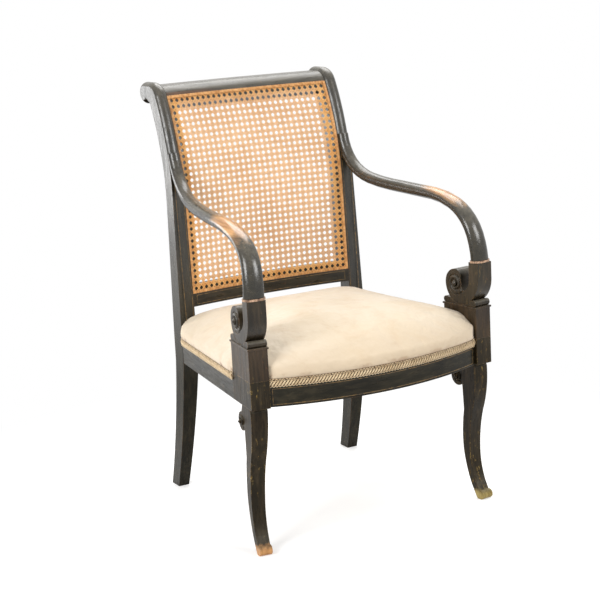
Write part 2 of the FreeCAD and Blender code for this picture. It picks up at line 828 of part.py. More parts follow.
def carved_spirals(name, centre_y, centre_z, radius, start, left, right):
    """Cutters for the two side faces of a volute that lies between two planes across the chair."""
    face = spiral_groove(centre_y, centre_z, radius, start)
    depth = size("carving_depth")
    cutters = []
    for base, length in ((left + depth, -overrun), (right - depth, overrun)):
        ribbon = face.copy()
        ribbon.translate(X_AXIS * base)
        cutters.append(ribbon.extrude(X_AXIS * length))
    return solid_feature(name, Part.makeCompound(cutters), SIDE)


leg_block = new_body("leg_block", SIDE)
add_pad(leg_block, "XY_Plane", rectangle(-block_width, 0, 0, block_depth), "Dims.block_height",
        offset="Dims.rail_bottom")
leg_side = new_body("leg_side", SIDE)
add_pad(leg_side, "YZ_Plane", leg_side_view(), "Dims.block_width", backwards=True)
leg_front = new_body("leg_front", SIDE)
add_pad(leg_front, "XZ_Plane", leg_front_view(), "Dims.block_depth", backwards=True)
leg_blank = fuse("leg_blank", [leg_block, common("leg_shape", leg_side, leg_front)])
volute_z = rail_bottom - size("leg_volute_drop")
leg_widening = (size("leg_width_top") - size("leg_width_foot")) * volute_z / rail_bottom
leg_volute_inner = -size("leg_side_inset") - size("leg_width_foot") - leg_widening
leg_carving = carved_spirals("leg_carving", size("leg_volute_back"), volute_z, size("leg_volute_radius"),
                             size("leg_carving_angle"), leg_volute_inner, -size("leg_side_inset"))
peg_y = size("scroll_bed")
peg_x = -block_width / 2
hole = "Dims.dowel_radius + Dims.dowel_gap"
hole_length = "Dims.dowel_length + 2 * Dims.dowel_gap"
half_dowel = size("dowel_length") / 2
dowel_gap = size("dowel_gap")


def dowel_and_hole(name, centre, placement=SIDE, direction=Z_AXIS):
    """A dowel centred on a joint, and the cutter for the hole that it sits in."""
    low = centre - direction * half_dowel
    dowel = peg(name, low, "Dims.dowel_radius", "Dims.dowel_length", placement, direction)
    return dowel, peg(name + "_hole", low - direction * dowel_gap, hole, hole_length, placement, direction)


block_dowel = dowel_and_hole("block_dowel", Vector(peg_x, peg_y, block_top))
leg_right = cut("leg_right", leg_blank, [leg_carving, side_front[1], bow[1], block_dowel[1]])
keep_pair(leg_right, "front_leg")
keep_pair(block_dowel[0], "block_dowel")

# Arm pedestals with a moulded lip, and the rolled saddles that cradle the scrolls
pedestal = new_body("pedestal", SIDE)
add_pad(pedestal, "XY_Plane", rectangle(-block_width, 0, 0, block_depth), "Dims.pedestal_height",
        offset="Dims.rail_bottom + Dims.block_height")
lip = new_body("pedestal_lip", SIDE)
over = size("lip_overhang")
add_pad(lip, "XY_Plane", rectangle(-block_width - over, -over, over, block_depth + over), "Dims.lip_height",
        offset="Dims.rail_bottom + Dims.block_height + Dims.pedestal_height")
bed_z = lip_top + size("cradle_thickness")
scroll_dowel = dowel_and_hole("scroll_dowel", Vector(peg_x, peg_y, lip_top))
pedestal_blank = fuse("pedestal_blank", [pedestal, lip])
keep_pair(cut("pedestal_right", pedestal_blank, [block_dowel[1], scroll_dowel[1]]), "arm_pedestal")

front_radius = size("scroll_front_radius")
rear_radius = size("scroll_rear_radius")
front_centre_z = bed_z + front_radius
rear_centre_z = bed_z + rear_radius


def saddle_side_view():
    front_roll = size("front_roll_radius")
    rear_roll = size("rear_roll_radius")
    rear_roll_y = block_depth - rear_roll
    cradle_z = bed_z - clearance
    outline = Outline(front_roll, lip_top).line(rear_roll_y, lip_top)
    outline.turn(rear_roll_y, lip_top + rear_roll, HALF_TURN)
    radius = rear_centre_z - cradle_z
    rear_turn = math.degrees(math.asin(size("cradle_rear_run") / radius))
    front_turn = math.degrees(math.asin(size("cradle_front_run") / (front_centre_z - cradle_z)))
    outline.line(peg_y + radius * sin(rear_turn), rear_centre_z - radius * cos(rear_turn))
    outline.turn(peg_y, rear_centre_z, -rear_turn)
    outline.turn(peg_y, front_centre_z, -front_turn)
    outline.line(front_roll, lip_top + 2 * front_roll)
    outline.turn(front_roll, lip_top + front_roll, HALF_TURN)
    return outline


saddle = new_body("saddle", SIDE)
add_pad(saddle, "YZ_Plane", saddle_side_view(), "Dims.block_width", backwards=True)
keep_pair(cut("saddle_right", saddle, [scroll_dowel[1]]), "scroll_saddle")


# Arm scrolls: the square neck rolls back and over into a volute
def scroll_side_view():
    top_radius = size("scroll_top_radius")
    tip_radius = size("scroll_tip_radius")
    neck_depth = size("neck_depth")
    neck_front = peg_y - front_radius
    strap_radius = front_radius - neck_depth
    roll_y_local = peg_y + rear_radius - top_radius
    roll_top = rear_centre_z + top_radius
    crease_turn = size("scroll_crease_angle")
    outline = Outline(neck_front, size("scroll_top")).line(neck_front, front_centre_z)
    outline.turn(peg_y, front_centre_z, RIGHT_ANGLE)
    outline.turn(peg_y, rear_centre_z, RIGHT_ANGLE)
    outline.turn(roll_y_local, rear_centre_z, RIGHT_ANGLE)
    outline.turn(roll_y_local, roll_top - tip_radius, RIGHT_ANGLE)
    crease_y = peg_y - strap_radius * cos(crease_turn)
    crease_z = front_centre_z - strap_radius * sin(crease_turn)
    tip = outline.here
    outline.arc(tip.x, (tip.y + crease_z) / 2, crease_y, crease_z)
    outline.turn(peg_y, front_centre_z, -crease_turn)
    outline.line(neck_front + neck_depth, size("scroll_top"))
    return outline.close()


scroll = new_body("scroll", SIDE)
scroll_gap = (block_width - size("scroll_width")) / 2
add_pad(scroll, "YZ_Plane", scroll_side_view(), "Dims.scroll_width",
        offset="-(Dims.block_width - Dims.scroll_width) / 2", backwards=True)
eye_y = peg_y + rear_radius - size("scroll_top_radius")
scroll_carving = carved_spirals("scroll_carving", eye_y, rear_centre_z, size("scroll_top_radius"),
                                size("scroll_carving_angle"), scroll_gap - block_width, -scroll_gap)
neck_y = peg_y - front_radius + size("neck_depth") / 2
collar_middle = size("scroll_top") + size("collar_height") / 2
collar_dowel = dowel_and_hole("collar_dowel", Vector(peg_x, neck_y, collar_middle))
keep_pair(cut("scroll_right", scroll, [scroll_carving, scroll_dowel[1], collar_dowel[1]]), "arm_scroll")
keep_pair(scroll_dowel[0], "scroll_dowel")


# Collars: a thin ring between the neck and the arm
def oval(centre, across, deep, half_width, half_depth):
    """An ellipse on a centre, from its two half axes, that starts at the end of the short one."""
    whole = Part.Ellipse(centre + across * half_width, centre + deep * half_depth, centre)
    return Part.ArcOfEllipse(whole, math.pi / 2, math.pi * 5 / 2).toShape()


def collar_ring():
    proud = size("collar_proud")
    rim = oval(Vector(peg_x, neck_y, size("scroll_top")), X_AXIS, Y_AXIS,
               size("arm_width_front") / 2 + proud, size("arm_depth_front") / 2 + proud)
    return Part.Face(Part.Wire(rim)).extrude(Z_AXIS * size("collar_height"))


collar = solid_feature("collar", collar_ring(), SIDE)
keep_pair(cut("collar_right", collar, [collar_dowel[1]]), "arm_collar")
keep_pair(collar_dowel[0], "collar_dowel")

# Arms: from the seam on the post, forward and down to the collar


def through(points, sag):
    """Points along a smooth curve through given points, near enough for a sag between them."""
    curve = Part.BSplineCurve()
    curve.interpolate(points)
    return curve.toShape().discretize(QuasiDeflection=sag)


def arm_solid():
    seam = station(size("seam_height"))
    start = Vector((stile_inner + post_outer) / 2, seam.x, seam.y)
    side = Placement(Vector(half_front, 0, 0), Rotation(Z_AXIS, splay))
    end = side.multVec(Vector(peg_x, neck_y, size("scroll_top") + size("collar_height")))
    reach = end - start
    marks = [start + Vector(reach.x * x, reach.y * y, reach.z * z) for x, y, z in ARM_SHARES]
    centres = through(marks, size("arm_sag"))
    lengths = [0]
    for before, after in zip(centres, centres[1:]):
        lengths.append(lengths[-1] + (after - before).Length)
    angle = math.degrees(math.asin((size("seam_height") - bend_centre_z) / back_radius))
    seam_width = size("post_width") - 2 * clearance
    wires = []
    for place, centre in enumerate(centres):
        grown = (lengths[place] / lengths[-1])**ARM_GROWTH_POWER
        width = seam_width + (size("arm_width_front") - seam_width) * grown
        depth = size("arm_depth_middle") + (size("arm_depth_front") - size("arm_depth_middle")) * grown
        if place == 0:
            heading = Vector(0, -sin(angle), -cos(angle))
        elif place == len(centres) - 1:
            heading = -Z_AXIS
        else:
            heading = (centres[place + 1] - centres[place - 1]).normalize()
        across = Rotation(Z_AXIS, splay * grown).multVec(X_AXIS)
        across = (across - heading * across.dot(heading)).normalize()
        wires.append(Part.Wire(oval(centre, across, heading.cross(across), width / 2, depth / 2)))
    return Part.makeLoft(wires, True, True)


arm = solid_feature("arm", arm_solid())
keep_pair(cut("arm_right", arm, [stile_plank, collar_dowel[1]]), "arm")

# Corner blocks, glued in the corners of the seat frame
corner_low = rail_bottom + (size("rail_height") - size("corner_block_height")) / 2
behind_bow = Outline(0, bow_centre_y + bow_radius - rail_thickness)
behind_bow.turn(0, bow_centre_y, HALF_TURN)
behind_bow.turn(0, bow_centre_y, HALF_TURN)
bow_space = new_body("bow_space")
add_pad(bow_space, "XY_Plane", behind_bow, "2 * Dims.rail_bottom")
corner_offset = "Dims.rail_bottom + (Dims.rail_height - Dims.corner_block_height) / 2"
front_wedge = new_body("front_wedge", SIDE)
wedge_plan = Outline(-block_width, -block_depth).line(-block_width, WEDGE_DEPTH_SHARE * block_depth)
wedge_plan.line(-block_width - corner_run, FRONT_WEDGE_SHARE * block_depth)
wedge_plan.line(-block_width - corner_run, -block_depth)
add_pad(front_wedge, "XY_Plane", wedge_plan.close(), "Dims.corner_block_height", offset=corner_offset)
front_corner = cut("front_corner", common("front_corner_blank", front_wedge, bow_space),
                   [bow_screw[1]])
keep_pair(front_corner, "corner_block_front")
rear_wedge = new_body("rear_wedge")
forward_end = rail_inner_end + side_forward * corner_run
corner_plan = Outline(rail_inner_end.x, stile_front).line(stile_inner, stile_front)
corner_plan.line(stile_inner, rear_rail_front)
corner_plan.line(stile_inner - size("corner_block_leg"), rear_rail_front)
corner_plan.line(forward_end.x, forward_end.y)
add_pad(rear_wedge, "XY_Plane", corner_plan.close(), "Dims.corner_block_height", offset=corner_offset)
keep_pair(cut("rear_corner", rear_wedge, [rear_screw[1]]), "corner_block_rear")


def group(name, members):
    """Several separate solids that share one node."""
    together = doc.addObject("Part::Compound", name)
    together.Links = members
    return together


screw_pairs = [one for screw in screws for one in both_sides(screw[0].Name, screw[0])]
keep(group("screws", screw_pairs), "corner_block_screws")


# Seat outline, drawn in square to the rails' outer faces, with rounded corners
def front_corner_point(inset):
    """Where the side line meets the bow, both moved inward."""
    base = Vector(half_front, -bow_centre_y, 0) - side_outward * inset
    along = base.dot(side_forward)
    reach = bow_radius - inset
    step = math.sqrt(along**2 - base.dot(base) + reach**2) - along
    return base + side_forward * step + Y_AXIS * bow_centre_y


def rear_corner_point(inset):
    base = Vector(half_front, 0, 0) - side_outward * inset
    step = (base.y - (rear_rail_back - inset)) / cos(splay)
    return base + side_forward * step


def plain_outline(inset):
    """The bow and three straight sides, with sharp corners."""
    front = front_corner_point(inset)
    rear_point = rear_corner_point(inset)
    outline = Outline(-front.x, front.y).arc(0, bow_centre_y - bow_radius + inset, front.x, front.y)
    return outline.line(rear_point.x, rear_point.y).line(-rear_point.x, rear_point.y).close()


def seat_outline(inset, corner):
    """Four sides and four round corners, anticlockwise in plan from the left of the bow."""
    side_centre = front_corner_point(inset + corner)
    outward = Vector(side_centre.x, side_centre.y - bow_centre_y, 0).normalize()
    bend = (outward + side_outward).normalize()
    bow_end = side_centre + outward * corner
    front = (side_centre + bend * corner, side_centre + side_outward * corner)
    side_centre = rear_corner_point(inset + corner)
    bend = (Y_AXIS + side_outward).normalize()
    rear_points = (side_centre + side_outward * corner, side_centre + bend * corner,
                   side_centre + Y_AXIS * corner)
    outline = Outline(-bow_end.x, bow_end.y)
    outline.arc(0, bow_centre_y - bow_radius + inset, bow_end.x, bow_end.y)
    outline.arc(front[0].x, front[0].y, front[1].x, front[1].y)
    outline.line(rear_points[0].x, rear_points[0].y)
    outline.arc(rear_points[1].x, rear_points[1].y, rear_points[2].x, rear_points[2].y)
    outline.line(-rear_points[2].x, rear_points[2].y)
    outline.arc(-rear_points[1].x, rear_points[1].y, -rear_points[0].x, rear_points[0].y)
    outline.line(-front[1].x, front[1].y)
    return outline.arc(-front[0].x, front[0].y, -bow_end.x, bow_end.y)


# Webbing on the rails: straight strips, then strips across them with ends stepped down
webbing_top = rail_top + size("webbing_thickness")
hessian_low = webbing_top + size("webbing_thickness")
hessian_top = hessian_low + size("hessian_thickness")
lap_inset = rail_thickness - size("webbing_lap")
footprint = new_body("footprint")
add_pad(footprint, "XY_Plane", seat_outline(lap_inset, size("seat_corner_radius")), "2 * Dims.rail_bottom")
pitch = size("webbing_pitch")
long_strips = []
for count in range(LONG_STRIPS):
    left = (count - (LONG_STRIPS - 1) / 2) * pitch - size("webbing_width") / 2
    long_strips.append(box(f"long_strip_{count}", Vector(left, -block_depth, rail_top),
                           ("Dims.webbing_width", "2 * Dims.stile_front", "Dims.webbing_thickness")))
keep(common("webbing_long", group("long_strips", long_strips), footprint), "seat_webbing_long")


def cross_strip_view():
    """Front view of one strip: raised over the straight strips and stepped down beside them."""
    step_in = (LONG_STRIPS - 1) / 2 * pitch + size("webbing_width") / 2 + size("webbing_lap") / 2
    step_out = step_in + size("webbing_lap")
    outline = Outline(-half_front, rail_top).line(-step_out, rail_top).line(-step_in, webbing_top)
    outline.line(step_in, webbing_top).line(step_out, rail_top).line(half_front, rail_top)
    outline.line(half_front, webbing_top).line(step_out, webbing_top).line(step_in, hessian_low)
    outline.line(-step_in, hessian_low).line(-step_out, webbing_top).line(-half_front, webbing_top)
    return outline.close()


cross_strips = []
first_cross = block_depth + size("webbing_lap")
for count in range(CROSS_STRIPS):
    shift = Placement(Vector(0, first_cross + count * pitch, 0), Rotation())
    strip = new_body(f"cross_strip_{count}", FRAME.multiply(shift))
    add_pad(strip, "XZ_Plane", cross_strip_view(), "Dims.webbing_width", backwards=True)
    cross_strips.append(strip)
keep(common("webbing_cross", group("cross_strips", cross_strips), footprint), "seat_webbing_cross")

# Spaces that the seat leaves for the pedestals and the stiles
pedestal_sizes = ("2 * Dims.block_width", "2 * Dims.block_depth + Dims.clearance", "Dims.stile_front")
pedestal_space = box("pedestal_space", Vector(-block_width - clearance, -block_depth, rail_bottom),
                     pedestal_sizes, SIDE)
stile_space = box("stile_space", Vector(stile_inner - clearance, stile_front - clearance, rail_bottom),
                  ("Dims.stile_inner", "Dims.block_depth", "Dims.stile_front"))
corner_spaces = both_sides("pedestal_spaces", pedestal_space) + both_sides("stile_spaces", stile_space)
hessian_sheet = new_body("hessian_sheet")
hessian_plan = seat_outline(lap_inset, size("seat_corner_radius"))
add_pad(hessian_sheet, "XY_Plane", hessian_plan, "Dims.hessian_thickness",
        offset="Dims.rail_bottom + Dims.rail_height + 2 * Dims.webbing_thickness")
keep(cut("hessian", hessian_sheet, corner_spaces), "seat_hessian")


# Crowned seat: slices that bulge over the gimp and draw in to the crown
def cushion(name, shrink, rounded):
    """The seat's form, moved inward by a thickness: sideways at the foot and down at the crown."""
    rise = size("seat_rise")
    run = size("seat_run")
    wires = []
    for level, inset_share in SEAT_SHARES:
        rise_share = max(level, 0)
        inset = inset_share * run + shrink * (1 - rise_share)
        corner = size("seat_corner_radius") + max(inset, 0) * CORNER_GROWTH_SHARE
        outline = seat_outline(inset, corner) if rounded else plain_outline(inset)
        wire = Part.Wire([curve.toShape() for curve in outline.curves])
        wire.translate(Z_AXIS * (rail_top + level * rise - shrink * rise_share))
        wires.append(wire)
    return solid_feature(name, Part.makeLoft(wires, True, True))


def below(name, level):
    """Everything under a level, as a cutter."""
    return box(name, Vector(-2 * stile_inner, -block_depth, rail_bottom),
               ("4 * Dims.stile_inner", "2 * Dims.stile_front", level))


stuffing_form = cushion("stuffing_form", size("cover_thickness") + clearance, rounded=False)
stuffing_floor = "Dims.rail_height + 2 * Dims.webbing_thickness + Dims.hessian_thickness"
under_stuffing = below("under_stuffing", stuffing_floor)
keep(cut("stuffing", stuffing_form, [under_stuffing] + corner_spaces), "seat_stuffing")
cover_outer = cushion("cover_outer", 0, rounded=True)
cover_inner = cushion("cover_inner", size("cover_thickness"), rounded=False)
cover_dome = cut("cover_dome", cover_outer, [cover_inner])
under_cover = below("under_cover", "Dims.rail_height + Dims.clearance")
keep(cut("cover", cover_dome, [under_cover] + corner_spaces), "seat_cover")

# Gimp along the seat's lower edge, on the rails' outer faces
gimp_low = "Dims.rail_bottom + Dims.rail_height - Dims.gimp_height"
gimp_bow = new_body("gimp_bow")
add_pad(gimp_bow, "XY_Plane", bow_strip(size("gimp_thickness"), 0), "Dims.gimp_height", offset=gimp_low)
keep(between_blocks("gimp_bow", gimp_bow), "gimp_front")
gimp_side = new_body("gimp_side", SIDE)
add_pad(gimp_side, "XY_Plane", rectangle(0, block_depth, size("gimp_thickness"), stile_front / cos(splay)),
        "Dims.gimp_height", offset=gimp_low)
keep_pair(gimp_side, "gimp_side")
gimp_rear = box("gimp_back", Vector(-stile_inner, rear_rail_back, rail_top - size("gimp_height")),
                ("2 * Dims.stile_inner", "Dims.gimp_thickness", "Dims.gimp_height"))
keep(gimp_rear, "gimp_rear")

doc.recompute()

# Checks, then one file for each sub-part
for item in doc.Objects:
    if "Invalid" in item.State or "Error" in item.State:
        raise ValueError(f"{item.Name} did not build: {item.State}")
for item in parts:
    if item.Shape.isNull() or not item.Shape.isValid():
        raise ValueError(f"{item.Label} has no valid shape")
    item.Shape.exportStep(f"parts/{item.Label}.step")
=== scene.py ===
import bpy
from math import asin, atan2, copysign, cos, exp, hypot, pi, radians, sin, sqrt, tan
from mathutils import Matrix, Vector


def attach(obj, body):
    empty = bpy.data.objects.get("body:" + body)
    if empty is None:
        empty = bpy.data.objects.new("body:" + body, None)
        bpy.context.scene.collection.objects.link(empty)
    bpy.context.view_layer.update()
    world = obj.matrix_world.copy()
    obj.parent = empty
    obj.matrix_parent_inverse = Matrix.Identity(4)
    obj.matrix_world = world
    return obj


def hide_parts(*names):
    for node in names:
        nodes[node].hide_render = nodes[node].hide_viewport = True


# Cane-back armchair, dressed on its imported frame. Metres; Z is up and -Y is the front.

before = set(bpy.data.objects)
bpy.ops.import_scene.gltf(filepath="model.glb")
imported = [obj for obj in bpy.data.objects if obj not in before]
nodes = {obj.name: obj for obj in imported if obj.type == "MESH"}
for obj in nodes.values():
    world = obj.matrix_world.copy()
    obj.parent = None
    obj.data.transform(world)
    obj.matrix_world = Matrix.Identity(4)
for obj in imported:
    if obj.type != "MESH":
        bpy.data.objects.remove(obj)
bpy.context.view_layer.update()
UP = Vector((0, 0, 1))
BACKWARD = Vector((0, 1, 0))

# Camera at the photograph's angle
CAMERA_PLACE = Vector((-1.5013, -2.7492, 1.1221))
CAMERA_BACK = Vector((-0.4629, -0.8596, 0.2164)).normalized()
CAMERA_ROLL = radians(-3.178)
CAMERA_LENS = 91.45
SENSOR_WIDTH = 36


def add_object(name, data):
    thing = bpy.data.objects.new(name, data)
    bpy.context.scene.collection.objects.link(thing)
    return thing


def make_camera():
    data = bpy.data.cameras.new("camera")
    data.lens = CAMERA_LENS
    data.sensor_width = SENSOR_WIDTH
    data.dof.use_dof = False
    camera = add_object("camera", data)
    level_right = (-CAMERA_BACK).cross(UP).normalized()
    level_up = CAMERA_BACK.cross(level_right)
    right = level_right * cos(CAMERA_ROLL) + level_up * sin(CAMERA_ROLL)
    up = level_up * cos(CAMERA_ROLL) - level_right * sin(CAMERA_ROLL)
    turn = Matrix((right, up, CAMERA_BACK)).transposed()
    camera.matrix_world = Matrix.Translation(CAMERA_PLACE) @ turn.to_4x4()
    bpy.context.scene.camera = camera


make_camera()

RAY_SAMPLES = 6


class Graph:
    """The node tree of a material or of the sky, built by short calls."""

    def __init__(self, owner, output="ShaderNodeOutputMaterial"):
        owner.use_nodes = True
        self.owner = owner
        self.tree = owner.node_tree
        self.tree.nodes.clear()
        self.output = self.add(output)

    def add(self, kind, **settings):
        node = self.tree.nodes.new(kind)
        for key, value in settings.items():
            setattr(node, key, value)
        return node

    def put(self, socket, value):
        """Link or set a socket. None leaves it as it is, and a colour gets its alpha."""
        if isinstance(value, bpy.types.NodeSocket):
            self.tree.links.new(value, socket)
        elif value is not None:
            socket.default_value = (*value, 1) if socket.type == "RGBA" else value

    def fill(self, node, **sockets):
        """Put values on a node's sockets, named with low lines for spaces."""
        for name, value in sockets.items():
            self.put(node.inputs[name.replace("_", " ")], value)
        return node

    def math(self, operation, first, second, clamp=False):
        node = self.add("ShaderNodeMath", operation=operation, use_clamp=clamp)
        self.put(node.inputs[0], first)
        self.put(node.inputs[1], second)
        return node.outputs[0]

    def times(self, first, second):
        return self.math("MULTIPLY", first, second)

    def plus(self, first, second):
        return self.math("ADD", first, second)

    def vector(self, operation, first, second=None):
        node = self.add("ShaderNodeVectorMath", operation=operation)
        self.put(node.inputs[0], first)
        self.put(node.inputs[1], second)
        return node.outputs["Value"]

    def place(self, scale=(1, 1, 1)):
        coordinates = self.add("ShaderNodeTexCoord").outputs["Object"]
        return self.fill(self.add("ShaderNodeMapping"), Vector=coordinates, Scale=scale).outputs[0]

    def noise(self, vector, scale, detail=3, roughness=0.5, distortion=0):
        node = self.fill(self.add("ShaderNodeTexNoise"), Vector=vector, Scale=scale, Detail=detail,
                         Roughness=roughness, Distortion=distortion)
        return node.outputs["Fac"]

    def threads(self, scale, distortion):
        """Fine bands across X, and others across Y."""
        bands = []
        for direction in ("X", "Y"):
            wave = self.add("ShaderNodeTexWave", wave_type="BANDS", bands_direction=direction)
            self.fill(wave, Vector=self.place(), Scale=scale, Distortion=distortion)
            bands.append(wave.outputs["Fac"])
        return bands

    def ramp(self, value, low, high, smooth=False):
        """Bring what lies between two numbers to 0 to 1."""
        node = self.add("ShaderNodeMapRange", interpolation_type="SMOOTHSTEP" if smooth else "LINEAR")
        return self.fill(node, Value=value, From_Min=low, From_Max=high).outputs["Result"]

    def span(self, value, low, high):
        """Spread a 0 to 1 value between two numbers."""
        node = self.add("ShaderNodeMapRange")
        return self.fill(node, Value=value, To_Min=low, To_Max=high).outputs["Result"]

    def mix(self, share, first, second):
        """Two colours, by a share of the second."""
        node = self.fill(self.add("ShaderNodeMix", data_type="RGBA"), Factor=share)
        self.put(node.inputs[6], first)
        self.put(node.inputs[7], second)
        return node.outputs[2]

    def blend(self, share, first, second):
        """Two shaders, by a share of the second."""
        node = self.add("ShaderNodeMixShader")
        for socket, value in zip(node.inputs, (share, first, second)):
            self.put(socket, value)
        return node.outputs[0]

    def part(self, vector, axis):
        return self.fill(self.add("ShaderNodeSeparateXYZ"), Vector=vector).outputs[axis]

    def normal(self):
        return self.add("ShaderNodeNewGeometry").outputs["Normal"]

    def within(self, axis, low, high, soft):
        """One between two places along an axis, fading out over a soft margin."""
        value = self.part(self.place(), axis)
        up = self.ramp(value, low - soft, low + soft, smooth=True)
        down = self.ramp(value, high + soft, high - soft, smooth=True)
        return self.times(up, down)

    def facing_up(self, low, high):
        return self.ramp(self.part(self.normal(), "Z"), low, high, smooth=True)

    def inside(self, spans, facing):
        """One inside all spans of (axis, low, high, margin), and where a face looks up, if asked."""
        mask = self.facing_up(*facing) if facing else 1
        for span in spans:
            mask = self.times(mask, self.within(*span))
        return mask

    def edges(self, radius):
        """The bevelled normal, and how far it leaves the flat one."""
        bevel = self.fill(self.add("ShaderNodeBevel", samples=RAY_SAMPLES), Radius=radius).outputs[0]
        facing = self.vector("DOT_PRODUCT", bevel, self.normal())
        return bevel, self.math("SUBTRACT", 1, facing, clamp=True)

    def crevices(self, reach):
        """How deep in a gap a point lies, from 0 in the open to 1."""
        node = self.fill(self.add("ShaderNodeAmbientOcclusion", samples=RAY_SAMPLES), Distance=reach)
        return self.math("SUBTRACT", 1, node.outputs["AO"])

    def bump(self, height, strength, distance, normal=None):
        node = self.add("ShaderNodeBump")
        return self.fill(node, Height=height, Strength=strength, Distance=distance, Normal=normal).outputs[0]

    def finish(self, color, roughness, normal=None, **sockets):
        shader = self.add("ShaderNodeBsdfPrincipled")
        self.fill(shader, Base_Color=color, Roughness=roughness, Normal=normal, **sockets)
        self.put(self.output.inputs[0], shader.outputs[0])
        return self.owner

    def white_where_seen(self, lit, white):
        """What lights the chair, and white where the camera, a mirror or glass looks at it."""
        ray = self.add("ShaderNodeLightPath")
        seen = ray.outputs["Is Camera Ray"]
        for kind in ("Is Glossy Ray", "Is Transmission Ray"):
            seen = self.math("MAXIMUM", seen, ray.outputs[kind])
        self.put(self.output.inputs[0], self.blend(seen, lit, white))


def new_graph(name):
    return Graph(bpy.data.materials.new(name))


# How a pattern is stretched along a grain, and how deep or wide a surface's relief and wear are
UPRIGHT = (1, 1, 0.12)
ACROSS = (0.12, 1, 1)
DEEP = (1, 0.12, 1)
UPRIGHT_FLECKS = (1, 1, 0.4)
LOOSE = (0.3, 0.3, 0.3)
WORN_EDGE = 0.0018
SOFT_EDGE = 0.001
PAINT_RELIEF = 0.0008
GRAIN_RELIEF = 0.0004
WEAVE_RELIEF = 0.0003
FINE_RELIEF = 0.0002
CREVICE_REACH = 0.003

# Where the paint is dull below and shiny above, a place beyond the chair, and where it is worn to the wood
RUBBED_DULL = 0.36
BEYOND = 1.2
DULL_FADE = 0.12
DULL_SHEEN = 0.13
RIGHT_SIDE = ("X", 0.1, 0.5, 0.01)
LEFT_SIDE = ("X", -0.5, -0.1, 0.01)
ARM_BEND = ("Y", -0.212, -0.100, 0.045)
TOE = ("Z", -0.01, 0.018, 0.010)
CREST_FOOT = ("Z", 0.850, 0.8675, 0.004)
CREST_LEFT = ("X", -0.21, -0.075, 0.05)

# Colours, where two are a dark and a light one
BLACKS = (0.006, 0.005, 0.0025), (0.018, 0.015, 0.007)
GREYED = (0.058, 0.046, 0.026)
BROWNS = (0.05, 0.022, 0.010), (0.20, 0.085, 0.030)
GOLDS = (0.20, 0.11, 0.022), (0.46, 0.32, 0.10)
DUST_AND_SHEEN = (0.20, 0.18, 0.14)
BARE_WOOD = (0.42, 0.19, 0.065), (0.72, 0.40, 0.17)
TOE_GILT = (0.22, 0.15, 0.04), (0.50, 0.40, 0.16)
CREST_WEAR = (0.035, 0.018, 0.010), (0.13, 0.065, 0.030)
BEECH = (0.22, 0.12, 0.06), (0.42, 0.27, 0.15)
STEEL = (0.42, 0.40, 0.37)
IRON = (0.10, 0.07, 0.05)
COLLAR = (0.11, 0.055, 0.03), (0.62, 0.40, 0.26)
LINES = (0.035, 0.022, 0.010), (0.26, 0.15, 0.045)
CANE_TONES = (0.72, 0.40, 0.175), (0.89, 0.56, 0.295)
CANE_SPOTS = (0.90, 0.61, 0.36)
CANE_STREAKS = (0.34, 0.17, 0.07)
CANE_SHADE = (0.28, 0.12, 0.045)
CANE_RIM = (0.76, 0.36, 0.10), (0.92, 0.54, 0.20)
BINDING_TONES = (0.50, 0.21, 0.055), (0.80, 0.44, 0.17)
SEAT_TONES = (0.72, 0.59, 0.42), (0.81, 0.70, 0.55)
SEAT_STAINS = (0.66, 0.49, 0.31)
SEAT_FOOT = (0.62, 0.45, 0.28)
SEAT_RUST = (0.30, 0.14, 0.06)
SEAT_FRONT_SHADE_AND_SOIL = (0.60, 0.47, 0.32)
GIMP_TONES = (0.52, 0.36, 0.19), (0.84, 0.69, 0.46)
GIMP_STAINS = (0.42, 0.28, 0.13)
GIMP_SHADE = (0.24, 0.13, 0.05)
TAPE_SHADE = (0.08, 0.045, 0.02), (0.22, 0.13, 0.06)
JUTE = (0.42, 0.30, 0.16), (0.74, 0.60, 0.40)
HESSIAN = (0.24, 0.16, 0.08), (0.50, 0.38, 0.23)


